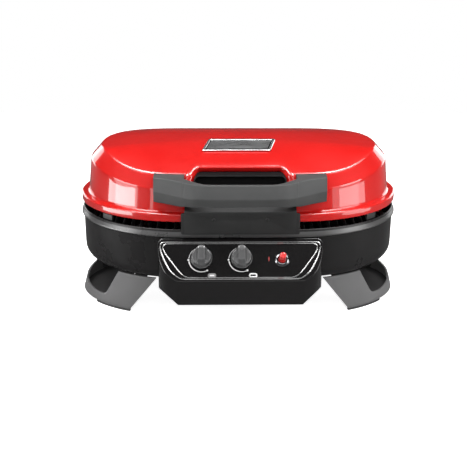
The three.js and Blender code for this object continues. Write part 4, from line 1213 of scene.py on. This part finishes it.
P2 = even(superloop(216, 84, 116.5), 90)
for i, p in enumerate(P2):
    a, b = np.array(P2[i - 1]), np.array(P2[(i + 1) % len(P2)])
    t = (b - a) / np.linalg.norm(b - a)
    nx, ny = t[1], -t[0]
    for s_ in (-1, 1):
        port(p[0] + s_ * nx * 5.4, p[1] + s_ * ny * 5.4, p[2] + 4.5, s_ * nx * 0.77, s_ * ny * 0.77, 0.64)
for i in range(24):
    x = -112 + 224 * i / 23
    for s_ in (-1, 1):
        port(x, s_ * 6.2, 117.3 + 5.1, 0, s_ * 0.77, 0.64)
po = mesh_of("burner_ports", ports_v, ports_f)
put(po, "grill_body", "burner_steel", (), "cast_iron", 40)

# ---------------------------------------------------------------- hinges
HY, HZ, LIPY = 176.0, 197.0, 163.5
for sx, nm in ((-1, "left"), (1, "right")):
    c = sx * 84.0

    def knuckle(n, x0, x1):
        return lathe(n, [(3.15, 0), (5.6, 0), (6, 0.4), (6, x1 - x0 - 0.4), (5.6, x1 - x0), (3.15, x1 - x0)], (c + x0, HY, HZ), (1, 0, 0), 48, closed=True)

    def plate(n, poly, rad, y0, y1):
        return prism(n, fillet(poly, rad, 5), "y", y0, y1)
    b0 = plate("hinge_bracket_" + nm, [(c - 16, 148), (c + 16, 148), (c + 16, 188), (c - 16, 188)], 4, 168.3, 171.3)
    bevel(b0, 0.5, 2, 40)
    parts = [plate("p", [(c - 16, 148), (c + 16, 148), (c + 16, 178), (c - 16, 178)], 3, 164.3, 168.4)]
    for x0, x1 in ((-16, -8.4), (8.4, 16)):
        # curled lug that rises to the knuckle
        poly = fillet([(168.5, 184), (172, 184), (180.5, 192), (181.2, 197), (179, 199.5), (175, 199.5), (168.5, 190)], [1, 3, 3, 3, 2, 2, 3], 5)
        lug = prism("l", poly, "x", c + x0, c + x1)
        boolean(lug, rod("c", (c - 30, HY, HZ), (c + 30, HY, HZ), 5.0, 40, 0))
        parts += [lug, knuckle("k", x0, x1)]
    join(b0, *parts)
    put(b0, "grill_body", "steel", ("hinge_base_" + nm,), "steel", 38)
    l0 = plate("hinge_leaf_plate_" + nm, [(c - 15, LIP_BOT + 1), (c + 15, LIP_BOT + 1), (c + 15, LIP_TOP - 0.5), (c - 15, LIP_TOP - 0.5)], 3, LIPY + 0.3, LIPY + 3)
    bevel(l0, 0.4, 2, 40)
    poly = fillet([(LIPY + 2.5, 201), (172.5, 200.6), (177, 201.5), (177, 204.5), (173, 206.6), (LIPY + 2.5, 207)], [0, 2, 2, 2, 2, 0], 5)
    lug = prism("l", poly, "x", c - 7.6, c + 7.6)
    join(l0, lug, knuckle("k", -7.6, 7.6))
    put(l0, "lid", "steel", ("hinge_leaf_" + nm,), "steel", 38)
    pin = lathe("hinge_pin_rod_" + nm, [(0, -20), (3.4, -20), (4.2, -19.6), (4.6, -18.9), (4.6, -16.6), (3.0, -16.4), (3.0, 17.4), (2.5, 18), (0, 18)], (c, HY, HZ), (1, 0, 0), 40)
    put(pin, "lid" if frame["nodes"]["hinge_pin_" + nm]["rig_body"] == "lid" else "grill_body", "steel", ("hinge_pin_" + nm,), "steel")
    for dx in (-8, 8):
        rv = lathe("hinge_rivet_%s_%d" % (nm, 1 if dx > 0 else 0), [(0, 1.6), (1.4, 1.45), (2.4, 0.9), (2.8, 0), (1.6, -0.2), (0, -0.2)], (c + dx, 171.3, 158), (0, 1, 0), 28)
        put(rv, "grill_body", "steel", (), "steel")

# ---------------------------------------------------------------- gas train
for (x, y, z), nm, sz in zip(KN, ("left", "right"), (102, 116.5)):
    vb = lathe("valve_barrel_" + nm, [(3.5, -14.5), (8.4, -14.5), (9, -15.1), (9, -18), (8.2, -18.4), (8.2, -20.4), (9, -20.8), (9, -23.9), (8.4, -24.5), (0, -24.5), (0, -21.0), (3.5, -21.0)], (x, y, z), NO, 48)
    join(vb, rod("c", (x, -178, 89.3), (x, -178, 126), 5.2, 36), rod("c", (x, -178, sz), (x, -166.4, sz), 4, 30),
         lathe("c", [(0, 0), (7.4, 0), (7.4, 7), (0, 7)], (x, -178, 96), (0, 0, 1), 6))
    put(vb, "grill_body", "brass", ("valve_" + nm,), "brass", 40)
mf = rod("manifold_pipe", (-80, -178, 84), (126, -178, 84), 5, 40, 1)
join(mf, rod("c", (120, -178, 84), (120, -178, 66), 5, 40, 1), rod("c", (120, -178, 71), (120, -133, 71), 5, 40, 1))
put(mf, "grill_body", "steel", ("gas_manifold",), "steel", 40)
gi = lathe("gas_inlet_union", [(0, 0), (5.4, 0), (6, 0.6), (6, 8.6), (9, 8.6), (9, 14.6), (6, 14.6)] + [q for k in range(5) for q in ((6, 15 + k * 1.1), (5.4, 15.5 + k * 1.1))] + [(5, 20.6), (3.4, 20.6), (3.4, 17), (0, 17)], (120, -132.6, 71), (0, 1, 0), 48)
put(gi, "grill_body", "brass", ("gas_inlet_fitting",), "brass", 40)
el = rod("electrode_ceramic", (50, -173, 142), (50, -112, 142), 3.5, 36, 0.8)
join(el, tube("c", spline([(50, -113, 142), (50, -99, 142), (50, -95, 140.6), (50, -93.4, 136), (50, -92, 127)], 8), 1.2, 14))
put(el, "grill_body", "ceramic", ("electrode",), "ceramic", 40)
p0, bk = on_face(*IG, -32.4), on_face(*IG, -36, 0, -3)
wr = tube("ignition_lead", spline([p0, bk, (63, -169.5, 125), (56, -172, 136), (51.5, -177.6, 141.2), (50, -176.5, 142), (50, -173.4, 142)], 10), 1.3, 14)
put(wr, "grill_body", "rubber", ("ignition_wire",), "rubber", 60)

# ---------------------------------------------------------------- carried-over CAD nodes: softened edges and real materials
GA, GB, GZ = 299.0, 147.0, 158.0


def half_depth(x, a=GA, b=GB):
    return b if x <= S else b * math.sqrt(max(0.0, 1 - ((x - S) / (a - S)) ** 2))


def grate(sx, nm):
    D = [(1.2, -GB)] + [(S + (GA - S) * math.sin(math.pi * t / 80), -GB * math.cos(math.pi * t / 80)) for t in range(0, 81)] + [(1.2, GB)]
    D = fillet(D, [7] + [0] * 81 + [7], 8)
    P = resample(D + [D[0]], 361)[:-1]
    nxt, prv = np.roll(P, -1, 0), np.roll(P, 1, 0)
    t = nxt - prv
    t /= np.linalg.norm(t, axis=1, keepdims=True)
    n_in = np.stack([-t[:, 1], t[:, 0]], 1)
    c = np.array([150.0, 0.0])
    if ((c - P) * n_in).sum() < 0:
        n_in = -n_in
    sec = fillet([(0.0, GZ), (0.0, GZ + 10), (8.0, GZ + 10), (7.2, GZ)], [1.2, 2.0, 2.0, 1.2], 4)
    rings = [[(sx * (P[i][0] + n_in[i][0] * d), P[i][1] + n_in[i][1] * d, z) for d, z in sec] for i in range(len(P))]
    g = loft("cooking_grate_" + nm, rings, closed=True)
    parts = []
    bs = fillet([(-3.1, GZ + 0.2), (-3.8, GZ + 9.9), (3.8, GZ + 9.9), (3.1, GZ + 0.2)], [1.0, 2.6, 2.6, 1.0], 5)
    for i in range(17):
        x = 1.2 + 21.4 + 17.2 * i
        if x > 284:
            break
        Y = half_depth(x) - 3.5
        parts.append(loft("b", [[(sx * (x + u), y, z) for u, z in bs] for y in np.linspace(-Y, Y, 3)]))
    cs = fillet([(-3.6, GZ + 0.2), (-4, GZ + 8.6), (4, GZ + 8.6), (3.6, GZ + 0.2)], [1, 2, 2, 1], 4)
    parts.append(loft("b", [[(sx * x, u, z) for u, z in cs] for x in (5.0, 150.0, 294.0)]))
    join(g, *parts)
    put(g, "grill_body", "cast_iron", ("grate_" + nm,), "cast_iron", 40)


grate(-1, "left")
grate(1, "right")

# drip tray: a pressed pan with a rolled edge
tr = [ring(150, 100, 85.4), ring(158, 104, 85.8), ring(162, 106, 87.2), ring(164.6, 108.6, 91.2), ring(166, 110, 92.4), ring(166, 110, 93.3), ring(165, 109, 93.6), ring(163.6, 107.6, 93.0),
      ring(161.4, 105.4, 88.8), ring(158.6, 102.6, 87.2), ring(149, 99, 86.6), ring(120, 70, 86.5), ring(112, 30, 86.4)]
put(loft("drip_pan", tr), "grill_body", "steel", ("drip_tray",), "steel", 50)

KEEP = {"burner_support_left": "burner_steel", "burner_support_right": "burner_steel", "grate_rest_front": "steel", "grate_rest_back": "steel",
        "grate_rest_left": "steel", "grate_rest_right": "steel"}
for n, m in KEEP.items():
    o = NODES[n]
    o.data.materials.clear()
    o.data.materials.append(MATS[m])
    for p in o.data.polygons:
        p.material_index = 0
    md = o.modifiers.new("soft", "BEVEL")
    md.width, md.segments, md.limit_method, md.angle_limit = 0.4 * MM, 3, "ANGLE", math.radians(40)
    md.use_clamp_overlap = True

# ---------------------------------------------------------------- stage and light
fl = bpy.data.materials.new("floor")
fl.use_nodes = True
flt = fl.node_tree
flt.nodes.clear()
f_out = flt.nodes.new("ShaderNodeOutputMaterial")
f_lp = flt.nodes.new("ShaderNodeLightPath")
tone = noise(flt, objco(flt), 2.0, 3)


def f_diff(v):
    d = flt.nodes.new("ShaderNodeBsdfDiffuse")
    flt.links.new(ramp(flt, tone, [(0.3, (v, v, v)), (0.7, (v * 1.02,) * 3)]), d.inputs[0])
    return d.outputs[0]


def f_mix(fac, a, b):
    m = flt.nodes.new("ShaderNodeMixShader")
    flt.links.new(fac, m.inputs[0])
    flt.links.new(a, m.inputs[1])
    flt.links.new(b, m.inputs[2])
    return m.outputs[0]


em = flt.nodes.new("ShaderNodeEmission")
em.inputs[1].default_value = 0.90
ad = flt.nodes.new("ShaderNodeAddShader")
flt.links.new(f_diff(0.86), ad.inputs[0])
flt.links.new(em.outputs[0], ad.inputs[1])
flt.links.new(f_mix(f_lp.outputs["Is Camera Ray"], f_mix(f_lp.outputs["Is Glossy Ray"], f_diff(0.62), f_diff(0.17)), ad.outputs[0]), f_out.inputs[0])
me = bpy.data.meshes.new("floor")
me.from_pydata([(-3, -3.2, 0), (3, -3.2, 0), (3, 1.5, 0), (-3, 1.5, 0)], [], [(0, 1, 2, 3)])
floor = bpy.data.objects.new("floor", me)
SCN.collection.objects.link(floor)
me.materials.append(fl)

w = bpy.data.worlds.new("studio")
SCN.world = w
w.use_nodes = True
nt = w.node_tree
nt.nodes.clear()
wo = nt.nodes.new("ShaderNodeOutputWorld")
bg = nt.nodes.new("ShaderNodeBackground")
bg2 = nt.nodes.new("ShaderNodeBackground")
mx = nt.nodes.new("ShaderNodeMixShader")
lp = nt.nodes.new("ShaderNodeLightPath")
nt.links.new(lp.outputs["Is Camera Ray"], mx.inputs[0])
nt.links.new(bg.outputs[0], mx.inputs[1])
nt.links.new(bg2.outputs[0], mx.inputs[2])
nt.links.new(mx.outputs[0], wo.inputs[0])
bg2.inputs[0].default_value = (1, 1, 1, 1)
bg2.inputs[1].default_value = 1.0
tc = nt.nodes.new("ShaderNodeTexCoord")
sep = nt.nodes.new("ShaderNodeSeparateXYZ")
nt.links.new(tc.outputs["Generated"], sep.inputs[0])
wr_ = ramp(nt, sep.outputs[2], [(0.0, (0.08,) * 3), (0.15, (0.05,) * 3), (0.5, (0.08,) * 3), (0.8, (0.09,) * 3), (1.0, (0.15,) * 3)])
nt.links.new(wr_, bg.inputs[0])
bg.inputs[1].default_value = 1.0


def area(name, loc, target, sx, sy, power, spread=180):
    ld = bpy.data.lights.new(name, "AREA")
    ld.shape, ld.size, ld.size_y, ld.energy = "RECTANGLE", sx, sy, power
    ld.spread = math.radians(spread)
    o = bpy.data.objects.new(name, ld)
    SCN.collection.objects.link(o)
    o.location = loc
    d = Vector(target) - Vector(loc)
    o.rotation_euler = d.to_track_quat("-Z", "Y").to_euler()
    return o


area("top_left", (-0.85, -0.25, 2.1), (-0.1, 0, 0.2), 1.15, 1.6, 32)
area("top_right", (0.85, -0.25, 2.1), (0.1, 0, 0.2), 1.15, 1.6, 34)
area("left_fill", (-1.7, -1.0, 0.9), (0, 0, 0.15), 0.8, 0.8, 9)
area("right_fill", (1.7, -1.0, 0.9), (0, 0, 0.15), 0.8, 0.8, 15)
area("front_fill", (0.0, -3.0, 2.0), (0, 0, 0.15), 2.4, 1.2, 30)
# panels that are only seen as reflections
for nm_, at_, to_, w_, h_, e_ in (
        ("left_panel", (-0.92, -0.50, 0.32), (-0.24, -0.06, 0.25), 0.46, 0.84, 5.6),
        ("left_strip", (-0.62, -0.86, 0.30), (-0.18, -0.10, 0.25), 0.05, 0.80, 0.4),
        ("left_low", (-0.72, -0.30, 0.09), (-0.26, -0.10, 0.21), 0.42, 0.17, 2.4),
        ("right_low", (0.72, -0.36, 0.09), (0.26, -0.10, 0.21), 0.40, 0.17, 1.0),
        ("glint_left", (-0.72, -0.35, 1.9), (0, -0.1, 0.2), 0.95, 0.5, 38),
        ("glint_right", (0.72, -0.35, 1.9), (0, -0.1, 0.2), 0.95, 0.5, 38),
        ("right_panel", (0.92, -0.62, 0.32), (0.24, -0.06, 0.25), 0.56, 0.84, 3.2),
        ("left_rim", (-1.25, 1.05, 0.40), (0, 0, 0.25), 0.9, 1.0, 12.0),
        ("right_rim", (1.25, 1.05, 0.40), (0, 0, 0.25), 0.9, 1.0, 12.0)):
    area(nm_, at_, to_, w_, h_, e_)
    bpy.data.objects[nm_].visible_diffuse = False
for o in bpy.data.objects:
    if o.type == "LIGHT":
        o.visible_camera = False

bpy.context.view_layer.update()
